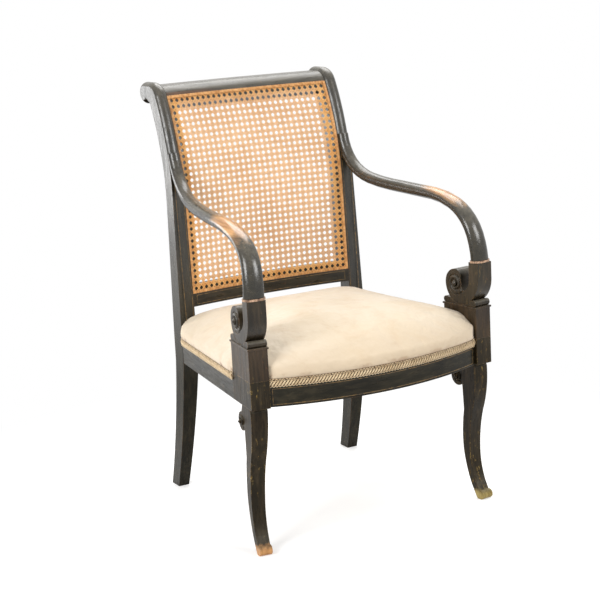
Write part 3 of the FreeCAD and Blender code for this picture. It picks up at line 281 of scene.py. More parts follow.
def ebonised(name, grain, wear=1.0, gilt=0.0, sheen=0.4, polish=(0.25, 0.44), brown_share=0.0, patches=()):
    """Worn black paint over brown wood, greyed where it looks up by dust and a painted sheen. Patches are
    (spans, facing, colours), laid on top.
    """
    g = new_graph(name)
    here = g.place()
    along = g.place(grain)
    fibres = g.noise(along, 110, 6, 0.65)
    clouds = g.noise(here, 9, 4, 0.6)
    chips = g.noise(here, 46, 6, 0.72, 0.4)
    specks = g.noise(here, 230, 3, 0.6)
    blotches = g.noise(along, 170, 4, 0.65)
    flecks = g.noise(g.place(UPRIGHT_FLECKS), 130, 5, 0.7)
    soft_normal, edge = g.edges(WORN_EDGE)
    black = g.mix(g.ramp(clouds, 0.3, 0.7), *BLACKS)
    greyed = g.mix(g.times(g.ramp(fibres, 0.45, 0.75), 0.6), black, GREYED)
    brown = g.mix(g.ramp(fibres, 0.35, 0.65), *BROWNS)
    worn = g.times(g.ramp(chips, 0.66 - 0.03 * wear, 0.74 - 0.03 * wear, smooth=True), 0.55)
    rubbed = g.times(g.ramp(edge, 0.02, 0.14), g.ramp(chips, 0.42, 0.56))
    bare = g.math("MAXIMUM", worn, g.times(rubbed, min(1.0, 0.65 * wear)), clamp=True)
    color = g.mix(g.math("MAXIMUM", bare, brown_share), greyed, brown)
    gold = g.mix(g.ramp(specks, 0.4, 0.65), *GOLDS)
    gilded = g.times(g.ramp(flecks, 0.58, 0.67), g.ramp(clouds, 0.46, 0.62))
    gilded = g.math("MAXIMUM", gilded, g.times(rubbed, g.ramp(specks, 0.42, 0.60)))
    color = g.mix(g.times(gilded, gilt), color, gold)
    gloss = g.span(g.ramp(blotches, 0.36, 0.64), *polish)
    waxed = g.span(g.within("Z", RUBBED_DULL, BEYOND, DULL_FADE), DULL_SHEEN, sheen)
    # Faces that look up turn grey: partly dust, partly a painted sheen standing for the light from above.
    dust_and_sheen = g.times(g.facing_up(0.1, 0.9), g.span(g.ramp(fibres, 0.3, 0.7), 0.25, 0.6))
    color = g.mix(dust_and_sheen, color, DUST_AND_SHEEN)
    for spans, facing, colours in patches:
        frayed = g.plus(g.inside(spans, facing), g.times(g.math("SUBTRACT", fibres, 0.5), 0.9))
        color = g.mix(g.ramp(frayed, 0.2, 0.95), color, g.mix(g.ramp(fibres, 0.3, 0.7), *colours))
    relief = g.plus(g.plus(g.times(fibres, 0.6), g.times(specks, 0.2)), g.times(blotches, 0.3))
    normal = g.bump(relief, 0.45, PAINT_RELIEF, soft_normal)
    return g.finish(color, gloss, normal, Specular_IOR_Level=waxed)


def plain_wood(name, grain, dark, light):
    g = new_graph(name)
    fibres = g.noise(g.place(grain), 80, 5, 0.6)
    bands = g.noise(g.place(), 14)
    color = g.mix(g.ramp(fibres, 0.3, 0.7), dark, light)
    color = g.mix(g.times(g.ramp(bands, 0.35, 0.7), 0.4), color, dark)
    normal = g.bump(fibres, 0.3, GRAIN_RELIEF, g.edges(SOFT_EDGE)[0])
    return g.finish(color, g.span(fibres, 0.5, 0.75), normal)


def metal(name, color, roughness):
    g = new_graph(name)
    marks = g.noise(g.place(), 400)
    shade = g.mix(g.ramp(marks, 0.35, 0.7), color, tuple(part * 0.6 for part in color))
    gloss = g.span(marks, roughness, roughness + 0.2)
    return g.finish(shade, gloss, g.bump(marks, 0.2, FINE_RELIEF), Metallic=1)


def worn_paint(name, dark, light, roughness=0.5):
    """Two mottled colours: a rubbed painted line or bead, or the gimp's dark tape, whose colour is painted
    shade between the gimp's loops.
    """
    g = new_graph(name)
    marks = g.noise(g.place(), 130, 5, 0.7)
    color = g.mix(g.ramp(marks, 0.38, 0.62), dark, light)
    return g.finish(color, roughness, g.bump(marks, 0.3, FINE_RELIEF))


frame_upright = ebonised("ebonised_upright", UPRIGHT, sheen=0.65, polish=(0.2, 0.38))
frame_across = ebonised("ebonised_across", ACROSS, sheen=0.45)
side_wood = ebonised("ebonised_side", DEEP, sheen=1.0)
scroll_wood = ebonised("ebonised_scroll", UPRIGHT, wear=1.1, gilt=0.3, brown_share=0.06)
block_wood = ebonised("ebonised_block", UPRIGHT, wear=1.3, gilt=0.2, sheen=0.42, brown_share=0.16)
arm_wood = ebonised("ebonised_arm", DEEP, wear=1.2, sheen=0.6, polish=(0.15, 0.30), patches=[
    ((LEFT_SIDE, ARM_BEND), (-0.15, 0.7), BARE_WOOD),
    ((RIGHT_SIDE, ARM_BEND), (0.2, 1.1), BARE_WOOD)])
crest_wood = ebonised("ebonised_crest", ACROSS, sheen=0.5, patches=[
    ((CREST_FOOT, CREST_LEFT), None, CREST_WEAR)])
leg_wood = ebonised("ebonised_leg", UPRIGHT, gilt=1.0, sheen=0.3, brown_share=0.05, patches=[
    ((RIGHT_SIDE, TOE), None, TOE_GILT),
    ((LEFT_SIDE, TOE), None, BARE_WOOD)])
inner_wood = plain_wood("inner_beech", ACROSS, *BEECH)
screw_steel = metal("screw_steel", STEEL, 0.35)
nail_iron = metal("nail_iron", IRON, 0.45)
collar_paint = worn_paint("collar_paint", *COLLAR, 0.38)
line_paint = worn_paint("line_paint", *LINES)
shade_tape_cloth = worn_paint("gimp_shade_tape", *TAPE_SHADE, 0.85)

MERGE_REACH = 0.00001
ROUND_LIMIT = radians(32)


def round_shading():
    """A modifier tree that welds a solid, drops its own normals and shades it round but for sharp edges."""
    tree = bpy.data.node_groups.new("round_shading", "GeometryNodeTree")
    for way in ("INPUT", "OUTPUT"):
        tree.interface.new_socket("Geometry", in_out=way, socket_type="NodeSocketGeometry")
    chain = [tree.nodes.new(kind) for kind in (
        "NodeGroupInput", "GeometryNodeMergeByDistance", "GeometryNodeRemoveAttribute",
        "GeometryNodeSetShadeSmooth", "GeometryNodeSetShadeSmooth", "NodeGroupOutput")]
    for before, after in zip(chain, chain[1:]):
        tree.links.new(before.outputs[0], after.inputs[0])
    merged, plain, smooth, creased = chain[1:-1]
    merged.inputs["Distance"].default_value = MERGE_REACH
    plain.inputs["Name"].default_value = "custom_normal"
    smooth.domain = "FACE"
    creased.domain = "EDGE"
    creased.inputs["Shade Smooth"].default_value = False
    angle = tree.nodes.new("GeometryNodeInputMeshEdgeAngle")
    sharp = tree.nodes.new("FunctionNodeCompare")
    sharp.operation = "GREATER_THAN"
    sharp.inputs[1].default_value = ROUND_LIMIT
    tree.links.new(angle.outputs["Unsigned Angle"], sharp.inputs[0])
    tree.links.new(sharp.outputs[0], creased.inputs["Selection"])
    return tree


def dress(material, *names):
    for name in names:
        node = nodes[name]
        node.data.materials.clear()
        node.data.materials.append(material)


def pair(*names):
    return [name + side for name in names for side in ("_right", "_left")]


dress(frame_upright, *pair("rear_stile"))
dress(crest_wood, "crest_rail")
dress(frame_across, "lower_back_rail", "front_rail", "rear_seat_rail")
dress(arm_wood, *pair("arm"))
dress(side_wood, *pair("side_rail"))
dress(scroll_wood, *pair("arm_scroll", "scroll_saddle"))
dress(block_wood, *pair("arm_pedestal"))
dress(leg_wood, *pair("front_leg"))
dress(inner_wood, *pair("block_dowel", "scroll_dowel", "collar_dowel"))
dress(inner_wood, *pair("corner_block_front", "corner_block_rear"))
dress(collar_paint, *pair("arm_collar"))
dress(screw_steel, "corner_block_screws")
round_tree = round_shading()
for arm in pair("arm"):
    nodes[arm].modifiers.new("round_shading", "NODES").node_group = round_tree


# Sizes that the soft pieces share with the frame
STILE_INNER = 0.1925
STILE_WIDTH = 0.035
STILE_FRONT = 0.417
SPLAY = radians(6.9)
HALF_FRONT = STILE_INNER + STILE_WIDTH + STILE_FRONT * tan(SPLAY)
BACK_PLAN_RADIUS = 1.240
BLOCK_WIDTH = 0.039
BLOCK_DEPTH = 0.097
RAIL_TOP = 0.349
RAIL_BOTTOM = 0.297
RAIL_THICKNESS = 0.025
BLOCK_TOP = 0.352
PEDESTAL_HEIGHT = 0.062
LIP_HEIGHT = 0.0035
BOW_DEPTH = 0.050
FRONT_INSET = 0.003
LEAN = radians(2)
BEND_START = 0.640
BACK_RADIUS = 0.529
BACK_TURN = radians(27)
CREST_RADIUS = 0.036
CREST_RUN = 0.031
ROLL_RADIUS = 0.015
SEAT_BULGE = 0.009
REAR_RAIL_INSET = 0.004
CANE_BOTTOM = 0.443
CANE_DROP = 0.0007

bend_y = STILE_FRONT + (BEND_START - BLOCK_TOP) * tan(LEAN)
bend_centre_y = bend_y + BACK_RADIUS * cos(LEAN)
bend_centre_z = BEND_START - BACK_RADIUS * sin(LEAN)
turn_y = bend_centre_y - BACK_RADIUS * cos(BACK_TURN)
turn_z = bend_centre_z + BACK_RADIUS * sin(BACK_TURN)
roll_y = turn_y + CREST_RADIUS * cos(BACK_TURN) + CREST_RUN
bow_half = HALF_FRONT - BLOCK_WIDTH / cos(SPLAY)
bow_radius = (bow_half**2 + BOW_DEPTH**2) / (2 * BOW_DEPTH)
bow_centre_y = FRONT_INSET - BOW_DEPTH + bow_radius
rear_rail_back = STILE_FRONT + REAR_RAIL_INSET + RAIL_THICKNESS
cane_top = turn_z - CANE_DROP
back_bow = BACK_PLAN_RADIUS - sqrt(BACK_PLAN_RADIUS**2 - STILE_INNER**2)
plan_centre_y = STILE_FRONT + back_bow - BACK_PLAN_RADIUS
shift_y = -(bow_centre_y - bow_radius - SEAT_BULGE + roll_y + ROLL_RADIUS + back_bow) / 2
bow_centre = Vector((0, bow_centre_y, 0))
side_corner = Vector((HALF_FRONT, 0, 0))
side_out = Vector((cos(SPLAY), sin(SPLAY), 0))
side_forward = Vector((sin(SPLAY), -cos(SPLAY), 0))

# A small step for finding directions, the seat's clearances, and how level a cord is that runs upright
NUDGE = 0.001
SEAT_GAP = 0.0006
EDGE_GAP = 0.0004
LEVEL_SHARE = 0.2


def back_point(x, height, depth=0.0):
    """A point on the back's curved face, moved back square to it by a depth."""
    if height <= BEND_START:
        y = STILE_FRONT + (height - BLOCK_TOP) * tan(LEAN)
        angle = LEAN
    else:
        angle = asin(min(1, (height - bend_centre_z) / BACK_RADIUS))
        y = bend_centre_y - BACK_RADIUS * cos(angle)
    radius = y + depth * cos(angle) + back_bow - plan_centre_y
    bowed_y = plan_centre_y + sqrt(radius**2 - x * x)
    return Vector((x, bowed_y + shift_y, height - depth * sin(angle)))


def back_station(x, height, direction, depth):
    """A station on the back: its place, a strip's cross direction there and the outward one."""
    here = back_point(x, height, depth)
    ahead = back_point(x + direction[0] * NUDGE, height + direction[1] * NUDGE, depth)
    outward = (back_point(x, height, depth - NUDGE) - here).normalized()
    return here, outward.cross((ahead - here).normalized()).normalized(), outward


def forward_turned(angle):
    """The forward direction in plan, turned towards the right."""
    return Vector((sin(angle), -cos(angle), 0))


def side_point(sign, x, y, z):
    """A point in the splayed plan of one side: x out from its outer face, y back from its front."""
    place = side_corner + side_out * x - side_forward * y
    return Vector((sign * place.x, place.y + shift_y, z))


def new_piece(name, form, material, smooth=True):
    points, faces = form
    mesh = bpy.data.meshes.new(name)
    mesh.from_pydata([tuple(point) for point in points], [], faces)
    mesh.materials.append(material)
    if smooth:
        mesh.shade_smooth()
    piece = add_object(name, mesh)
    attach(piece, "root")
    return piece


def bar(sections):
    """A closed bar through like sections, each a list of points."""
    count = len(sections[0])
    points = [point for section in sections for point in section]
    faces = []
    for at in range(0, len(points) - count, count):
        for turn in range(count):
            here = at + turn
            other = at + (turn + 1) % count
            faces.append((here, other, other + count, here + count))
    faces.append(tuple(range(count - 1, -1, -1)))
    faces.append(tuple(range(len(points) - count, len(points))))
    return points, faces


def joined(forms):
    """One form made of several, each still closed by itself."""
    points = []
    faces = []
    for more_points, more_faces in forms:
        base = len(points)
        points += more_points
        faces += [tuple(base + corner for corner in face) for face in more_faces]
    return points, faces


def ribbons(paths, width, thickness):
    """Flat strips with a ridge, along paths of (place, across, outward) stations."""
    def section(place, across, outward):
        side = across * (width / 2)
        return [place - side, place + outward * thickness, place + side]

    return joined([bar([section(*station) for station in path]) for path in paths])


def ring(centre, first, second, radius, count):
    """Points round a centre in the plane of two directions."""
    return [centre + (first * cos(angle) + second * sin(angle)) * radius
            for angle in even(0, 2 * pi, count)[:-1]]


def cords(paths, radius, sides):
    """Round cords along paths of points."""
    forms = []
    for path in paths:
        sections = []
        for at, here in enumerate(path):
            along = (path[min(at + 1, len(path) - 1)] - path[max(at - 1, 0)]).normalized()
            side = along.cross(UP)
            if side.length < LEVEL_SHARE:
                side = along.cross(BACKWARD)
            side.normalize()
            sections.append(ring(here, side, side.cross(along), radius, sides))
        forms.append(bar(sections))
    return joined(forms)


def mirrored(half):
    """A closed outline from its right half, given from one middle point to the other."""
    return half + [Vector((-point.x, point.y, 0)) for point in half[-2:0:-1]]


def even(first, last, steps):
    return [first + (last - first) * step / steps for step in range(steps + 1)]


# Cane, six ways: pairs up and across, and one strand along each diagonal
CANE_PITCH_X = 0.0130
CANE_PITCH_Z = 0.0126
CANE_STRAND = 0.0022
CANE_THICK = 0.0007
CANE_DEPTH = 0.0026
CANE_PAIR = 0.0013
CANE_EDGE = 0.0035
CANE_BORDER = 0.026
BORDER_FADE = 0.007
KNOT_LIFT = 0.0005
SLANT_LIFT = 0.0008
KNOT_SHARES = (-2.2, -1, 1, 2.2)
BINDING = 0.005
TIE_WIDTH = 0.0034
TIE_THICK = 0.0008
TIE_REACH_SHARE = 0.62
TIE_DEPTH = 0.0012
TIE_SHARES = ((-1.0, 1.0), (-0.8, -0.5), (0.0, -1.0), (0.8, -0.5), (1.0, 1.0))

cane_half = STILE_INNER - CANE_EDGE
cane_low = CANE_BOTTOM + CANE_EDGE
cane_high = cane_top - CANE_EDGE
column_count = int(2 * cane_half / CANE_PITCH_X)
row_count = int((cane_high - cane_low) / CANE_PITCH_Z)
cane_step_x = 2 * cane_half / column_count
cane_step_z = (cane_high - cane_low) / row_count
cane_columns = (-cane_half, cane_half, column_count)
cane_rows = (cane_low, cane_high, row_count)


def pair_paths(strands, crossings, upright):
    """Pairs of strands, in and out at each crossing, upright or level. A grid is (low, high, count)."""
    def station(fixed, run, lift):
        x, z = (fixed, run) if upright else (run, fixed)
        return back_station(x, z, (1 - upright, upright), CANE_DEPTH - lift)

    low, high, count = crossings
    half_step = (high - low) / count / 2
    paths = []
    for middle in even(*strands):
        for side in (-1, 1):
            fixed = middle + side * CANE_PAIR
            path = []
            for knot in even(low, high, count):
                for share in KNOT_SHARES:
                    run = knot + share * CANE_PAIR
                    lift = KNOT_LIFT * share * exp((1 - share * share) / 2)
                    if low - NUDGE <= run <= high + NUDGE:
                        path.append(station(fixed, run, side * lift if upright else -side * lift))
                path.append(station(fixed, knot + half_step, 0))
            if strands[0] <= fixed <= strands[1]:
                paths.append(path[:-1])
    return paths


def cane_paths():
    paths = pair_paths(cane_columns, cane_rows, 1) + pair_paths(cane_rows, cane_columns, 0)
    for slope in (1, -1):
        for start in range(-row_count, column_count + 1):
            path = slanted_path(slope, start)
            if len(path) > 2:
                paths.append(path)
    return paths


def slanted_path(slope, start):
    """A diagonal strand, which crosses the pairs at their knots, in quarters of a row."""
    path = []
    for quarter in range(4 * row_count + 1):
        z = quarter / 4
        x = start + 0.5 + z if slope > 0 else column_count - start - 0.5 - z
        if 0 <= x <= column_count:
            lift = slope * SLANT_LIFT * cos(2 * pi * x)
            path.append(back_station(-cane_half + x * cane_step_x, cane_low + z * cane_step_z,
                                     (slope * cane_step_x, cane_step_z), CANE_DEPTH - lift))
    return path


def tie(x, z, direction):
    """A strap over the binding at one place."""
    path = []
    for share, depth_share in TIE_SHARES:
        run = share * BINDING * TIE_REACH_SHARE
        at_x = x + run * direction[0]
        if abs(at_x) < STILE_INNER - EDGE_GAP:
            path.append(back_station(at_x, z + run * direction[1], direction, depth_share * TIE_DEPTH))
    return path


def tie_paths():
    """The straps that hold the binding down, two to each hole."""
    inset = BINDING / 2
    paths = []
    for x in even(-cane_half, cane_half, 2 * column_count)[:-1]:
        for z in (CANE_BOTTOM + inset, cane_top - inset):
            paths.append(tie(x + cane_step_x / 4, z, (0, 1)))
    for z in even(cane_low, cane_high, 2 * row_count)[:-1]:
        for x in (inset - STILE_INNER, STILE_INNER - inset):
            paths.append(tie(x, z + cane_step_z / 4, (1, 0)))
    return paths


def cane_material():
    g = new_graph("cane_strands")
    streak = g.noise(g.place(LOOSE), 300, 4, 0.6)
    area = g.noise(g.place(), 7, 4, 0.6)
    spots = g.noise(g.place(), 60)
    color = g.mix(g.ramp(area, 0.35, 0.65), *CANE_TONES)
    color = g.mix(g.times(g.ramp(spots, 0.5, 0.75), 0.5), color, CANE_SPOTS)
    color = g.mix(g.times(g.ramp(streak, 0.55, 0.75), 0.35), color, CANE_STREAKS)
    half = STILE_INNER - CANE_BORDER
    middle = g.inside((("X", -half, half, BORDER_FADE),
                       ("Z", CANE_BOTTOM + CANE_BORDER, cane_top - CANE_BORDER / 2, BORDER_FADE)), None)
    edge = g.mix(g.ramp(spots, 0.35, 0.7), *CANE_RIM)
    color = g.mix(middle, edge, color)
    # Painted shade in the gaps between strands.
    color = g.mix(g.ramp(g.crevices(CREVICE_REACH), 0.12, 0.55), color, CANE_SHADE)
    return g.finish(color, g.span(spots, 0.42, 0.62), g.bump(streak, 0.3, FINE_RELIEF))


def binding_material():
    g = new_graph("cane_binding")
    spots = g.noise(g.place(), 130, 4, 0.6)
    color = g.mix(g.ramp(spots, 0.35, 0.65), *BINDING_TONES)
    return g.finish(color, 0.5, g.bump(spots, 0.4, WEAVE_RELIEF))


cane_form = ribbons(cane_paths(), CANE_STRAND, CANE_THICK)
cane = new_piece("cane_weave", cane_form, cane_material(), smooth=False)
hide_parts("cane_panel")
binding_cane = binding_material()
dress(binding_cane, "cane_binding")
new_piece("binding_ties", ribbons(tie_paths(), TIE_WIDTH, TIE_THICK), binding_cane, smooth=False)

# Volutes: a raised coil between the lines of each carved spiral, and a proud eye
SPIRAL_SHARES = (0.84, 0.75, 0.66, 0.57, 0.485, 0.40, 0.325, 0.26, 0.20)
CARVED_LINE_SHARE = 0.085
COIL_SHARES = (-1.0, -0.8, -0.45, 0.0, 0.45, 0.8, 1.0)
EYE_SHARES = ((1.0, -0.075), (1.0, 0.575), (0.88, 0.75), (0.64, 0.70), (0.56, 0.85), (0.30, 0.975),
              (0.05, 1.0))
COIL_STEPS = 6
COIL_START = 0.0022
COIL_GROWTH = 0.0034
COIL_LEAST = 0.0008
COIL_TIP_SHARE = 0.1
COIL_TIP_QUARTERS = 1.5
COIL_SUNK = 0.0006
EYE_RISE = 0.008
EYE_SIDES = 16
SCROLL_TURN = 210
LEG_TURN = 225
SCROLL_BED = 0.048
SCROLL_REAR_RADIUS = 0.042
SCROLL_TOP_RADIUS = 0.030
SCROLL_WIDTH = 0.038
CRADLE = 0.0015
LEG_SIDE_INSET = 0.0015
LEG_WIDTH_TOP = 0.0355
LEG_WIDTH_FOOT = 0.025
LEG_VOLUTE_RADIUS = 0.019
LEG_VOLUTE_BACK = 0.066
LEG_VOLUTE_DROP = 0.036


def spiral_share(quarters):
    at = min(int(quarters), len(SPIRAL_SHARES) - 2)
    part = min(quarters - at, 1)
    return SPIRAL_SHARES[at] * (1 - part) + SPIRAL_SHARES[at + 1] * part


def coil_form(sign, centre_y, centre_z, radius, start, face, out):
    """The ridge that winds in to the eye on one side face of a volute, and the eye itself."""
    def point(lift, reach, angle):
        return side_point(sign, face + out * lift, centre_y + reach * cos(angle),
                          centre_z + reach * sin(angle))

    turns = len(SPIRAL_SHARES) - 1
    half_line = CARVED_LINE_SHARE * radius / 2
    sections = []
    for step in range(COIL_STEPS * turns + 1):
        quarters = step / COIL_STEPS
        angle = radians(start + 90 * quarters)
        outer = spiral_share(quarters) * radius - half_line
        inner = min(spiral_share(min(quarters + 4, turns)) * radius + half_line, outer - COIL_LEAST)
        height = COIL_START + COIL_GROWTH * quarters / turns
        height *= min(1, quarters / COIL_TIP_QUARTERS + COIL_TIP_SHARE)
        middle = (outer + inner) / 2
        half = (outer - inner) / 2
        section = [point(height * sqrt(1 - share * share), middle + share * half, angle)
                   for share in COIL_SHARES]
        section += [point(-COIL_SUNK, middle + side * half, angle) for side in (1, -1)]
        sections.append(section)
    eye = SPIRAL_SHARES[-1] * radius
    angles = even(0, 2 * pi, EYE_SIDES)[:-1]
    rings = [[point(lift * EYE_RISE, eye * reach, angle) for angle in angles] for reach, lift in EYE_SHARES]
    return joined([bar(sections), bar(rings)])


def volutes():
    scroll_z = BLOCK_TOP + PEDESTAL_HEIGHT + LIP_HEIGHT + CRADLE + SCROLL_REAR_RADIUS
    scroll_y = SCROLL_BED + SCROLL_REAR_RADIUS - SCROLL_TOP_RADIUS
    scroll_x = (SCROLL_WIDTH - BLOCK_WIDTH) / 2
    leg_z = RAIL_BOTTOM - LEG_VOLUTE_DROP
    leg_width = LEG_WIDTH_FOOT + (LEG_WIDTH_TOP - LEG_WIDTH_FOOT) * leg_z / RAIL_BOTTOM
    kinds = (
        ("scroll_coils_", scroll_y, scroll_z, SCROLL_TOP_RADIUS, SCROLL_TURN, scroll_x, SCROLL_WIDTH,
         scroll_wood, "black_scroll"),
        ("leg_coils_", LEG_VOLUTE_BACK, leg_z, LEG_VOLUTE_RADIUS, LEG_TURN, -LEG_SIDE_INSET, leg_width,
         leg_wood, "black_leg"))
    for side, sign in (("right", 1), ("left", -1)):
        for name, y, z, radius, start, face, width, material, slot in kinds:
            outer = coil_form(sign, y, z, radius, start, face, 1)
            inner = coil_form(sign, y, z, radius, start, face - width, -1)
            new_piece(name + side, joined([outer, inner]), material)


volutes()

# Seat: the same form as its solid, from slices that bulge over the gimp and draw in to the crown
SEAT_RISE = 0.087
SEAT_RUN = 0.200
SEAT_CORNER = 0.012
SEAT_SHRINK = 0.001
CORNER_GROWTH_SHARE = 0.2
SEAT_SHARES = ((-0.04, 0.012), (0.00, -0.005), (0.10, -0.040), (0.26, -0.042), (0.46, 0.030), (0.63, 0.190),
               (0.75, 0.375), (0.90, 0.625), (0.985, 0.850))
SLICES = 3
BOW_STEPS = 12
CORNER_STEPS = 5
SIDE_STEPS = 14
REAR_STEPS = 10
VOXEL = 0.006
PIN_HEIGHT = RAIL_TOP + 0.030
PIN_FADE = 0.012
PRESSURE = 4
SIM_FRAMES = 16
SIM_CAP = 0.004
BULGE_CAP = 0.010
BULGE_FADE = 0.022
SIDE_END = STILE_FRONT / cos(SPLAY)
RAIL_GAP = 0.0004
HESSIAN_GAP = 0.0034
INNER_STEP = 0.009
DARK_FOOT_HEIGHT = RAIL_TOP + 0.012
DARK_FOOT_FADE = 0.022
RUST_HEIGHT = RAIL_TOP + 0.0125
RUST_FADE = 0.003
SHADED_AND_SOILED_FRONT = -0.262
FRONT_FADE = 0.035
FOLD_RELIEF = 0.014


def front_corner(inset, bow_inset=None):
    """Where a line inside the side's outer face meets the bow, or a curve inside it."""
    base = side_corner - bow_centre - side_out * inset
    along = base.dot(side_forward)
    reach = bow_radius - (inset if bow_inset is None else bow_inset)
    step = sqrt(along**2 - base.dot(base) + reach**2) - along
    return base + side_forward * step + bow_centre


def rear_corner(inset):
    base = side_corner - side_out * inset
    return base + side_forward * ((base.y - (rear_rail_back - inset)) / cos(SPLAY))


def round_corner(centre, radius, first, last):
    return [centre + Vector((cos(angle), sin(angle), 0)) * radius
            for angle in even(first, last, CORNER_STEPS)[:-1]]


def straight(start, end, steps):
    return [start.lerp(end, count / steps) for count in range(steps)]


def seat_ring(inset, corner):
    """Half of the seat's outline in plan, front middle to rear middle, with even steps on each stretch."""
    front = front_corner(inset + corner)
    outward = Vector((front.x, front.y - bow_centre_y, 0)).normalized()
    bow_end = front + outward * corner
    bow_angle = asin(bow_end.x / (bow_radius - inset))
    outline = [forward_turned(angle) * (bow_radius - inset) + bow_centre
               for angle in even(0, bow_angle, BOW_STEPS)[:-1]]
    side_angle = atan2(side_out.y, side_out.x)
    outline += round_corner(front, corner, atan2(outward.y, outward.x), side_angle)
    rear = rear_corner(inset + corner)
    outline += straight(front + side_out * corner, rear + side_out * corner, SIDE_STEPS)
    outline += round_corner(rear, corner, side_angle, pi / 2)
    start = rear + BACKWARD * corner
    middle = Vector((0, start.y, 0))
    return outline + straight(start, middle, REAR_STEPS) + [middle]


def catmull(values, steps):
    """Points on a smooth curve through given pairs."""
    padded = [values[0], *values, values[-1]]
    result = []
    for at in range(len(values) - 1):
        a, b, c, d = (Vector(value) for value in padded[at:at + 4])
        for step in range(steps):
            t = step / steps
            result.append(0.5 * ((2 * b) + (c - a) * t + (2 * a - 5 * b + 4 * c - d) * t * t
                                 + (3 * b - a - 3 * c + d) * t**3))
    result.append(Vector(values[-1]))
    return result


def seat_form():
    sections = []
    for level, inset_share in catmull(SEAT_SHARES, SLICES):
        inset = inset_share * SEAT_RUN + SEAT_SHRINK
        outline = mirrored(seat_ring(inset, SEAT_CORNER + max(inset, 0) * CORNER_GROWTH_SHARE))
        height = RAIL_TOP + level * SEAT_RISE - SEAT_SHRINK * max(level, 0)
        sections.append([Vector((point.x, point.y + shift_y, height)) for point in outline])
    return bar(sections)


def apply(piece, modifier):
    bpy.ops.object.select_all(action="DESELECT")
    piece.select_set(True)
    bpy.context.view_layer.objects.active = piece
    bpy.ops.object.modifier_apply(modifier=modifier.name)


def inflate(piece):
    """Blow a closed form up as cloth, with its foot held and no point moving further than a cap."""
    before = [vertex.co.copy() for vertex in piece.data.vertices]
    pins = piece.vertex_groups.new(name="tacked_foot")
    for vertex in piece.data.vertices:
        hold = (PIN_HEIGHT - vertex.co.z) / PIN_FADE
        if hold > 0:
            pins.add([vertex.index], min(1, hold), "REPLACE")
    cloth = piece.modifiers.new("cloth", "CLOTH")
    cloth.settings.vertex_group_mass = pins.name
    cloth.settings.use_pressure = True
    cloth.settings.uniform_pressure_force = PRESSURE
    cloth.settings.effector_weights.gravity = 0
    cloth.settings.quality = 5
    cloth.point_cache.frame_start = 1
    cloth.point_cache.frame_end = SIM_FRAMES
    scene = bpy.context.scene
    for moment in range(1, SIM_FRAMES + 1):
        scene.frame_set(moment)
    apply(piece, cloth)
    scene.frame_set(1)
    for vertex, start in zip(piece.data.vertices, before):
        move = vertex.co - start
        if move.length > SIM_CAP:
            vertex.co = start + move.normalized() * SIM_CAP


def fade(distance):
    """From 0 at a corner to 1 at a distance from it."""
    share = min(1, max(0, distance / BULGE_FADE))
    return share * share * (3 - 2 * share)


def fit_seat(piece):
    """Keep the seat clear of the blocks, the stiles and what it lies on."""
    for vertex in piece.data.vertices:
        point = Vector((abs(vertex.co.x), vertex.co.y - shift_y, vertex.co.z))
        local_x = (point - side_corner).dot(side_out)
        local_y = -(point - side_corner).dot(side_forward)
        into_side = local_x + BLOCK_WIDTH + SEAT_GAP
        into_back = BLOCK_DEPTH + SEAT_GAP - local_y
        if into_side > 0 and into_back > 0:
            if into_side < into_back or local_y < 0:
                point -= side_out * into_side
                local_x -= into_side
            else:
                point -= side_forward * into_back
                local_y += into_back
        bulge = local_x - BULGE_CAP * fade(local_y - BLOCK_DEPTH) * fade(SIDE_END - local_y)
        if bulge > 0 and local_y > BLOCK_DEPTH:
            point -= side_out * bulge
        from_bow = Vector((point.x, point.y - bow_centre_y, 0))
        bulge = from_bow.length - bow_radius - BULGE_CAP * fade(-BLOCK_WIDTH - local_x)
        if bulge > 0 and local_y < BLOCK_DEPTH:
            point -= from_bow.normalized() * bulge
        into_stile = point.x - (STILE_INNER - SEAT_GAP)
        into_front = point.y - (STILE_FRONT - SEAT_GAP)
        if into_stile > 0 and into_front > 0:
            if into_stile < into_front:
                point.x -= into_stile
            else:
                point.y -= into_front
        inside = min(bow_radius - hypot(point.x, point.y - bow_centre_y),
                     -(point - side_corner).dot(side_out))
        floor = RAIL_GAP if inside < RAIL_THICKNESS - INNER_STEP else HESSIAN_GAP
        point.z = max(point.z, RAIL_TOP + floor)
        vertex.co = Vector((copysign(point.x, vertex.co.x), point.y + shift_y, point.z))


def seat_material():
    g = new_graph("seat_cloth_weave")
    here = g.place()
    threads = g.plus(*g.threads(260, 1.5))
    clouds = g.noise(here, 7, 4, 0.6)
    stains = g.noise(here, 16, 5, 0.65, 0.6)
    color = g.mix(g.ramp(clouds, 0.3, 0.7), *SEAT_TONES)
    color = g.mix(g.times(g.ramp(stains, 0.50, 0.68), 0.42), color, SEAT_STAINS)
    # The cushion is darker and mottled towards its foot.
    foot = g.within("Z", 0, DARK_FOOT_HEIGHT, DARK_FOOT_FADE)
    color = g.mix(g.times(foot, g.span(stains, 0.25, 0.7)), color, SEAT_FOOT)
    rust = g.times(g.within("Z", 0, RUST_HEIGHT, RUST_FADE), g.ramp(stains, 0.50, 0.62))
    color = g.mix(g.times(rust, 0.75), color, SEAT_RUST)
    # The cushion's front is darker: painted shade, with some soiling.
    front = g.within("Y", -BEYOND, SHADED_AND_SOILED_FRONT, FRONT_FADE)
    color = g.mix(g.times(front, g.span(g.ramp(clouds, 0.3, 0.7), 0.35, 0.8)), color, SEAT_FRONT_SHADE_AND_SOIL)
    normal = g.bump(g.noise(here, 22), 0.6, FOLD_RELIEF)
    normal = g.bump(threads, 0.12, WEAVE_RELIEF, normal)
    return g.finish(color, 0.82, normal, Sheen_Weight=0.25, Sheen_Roughness=0.5)


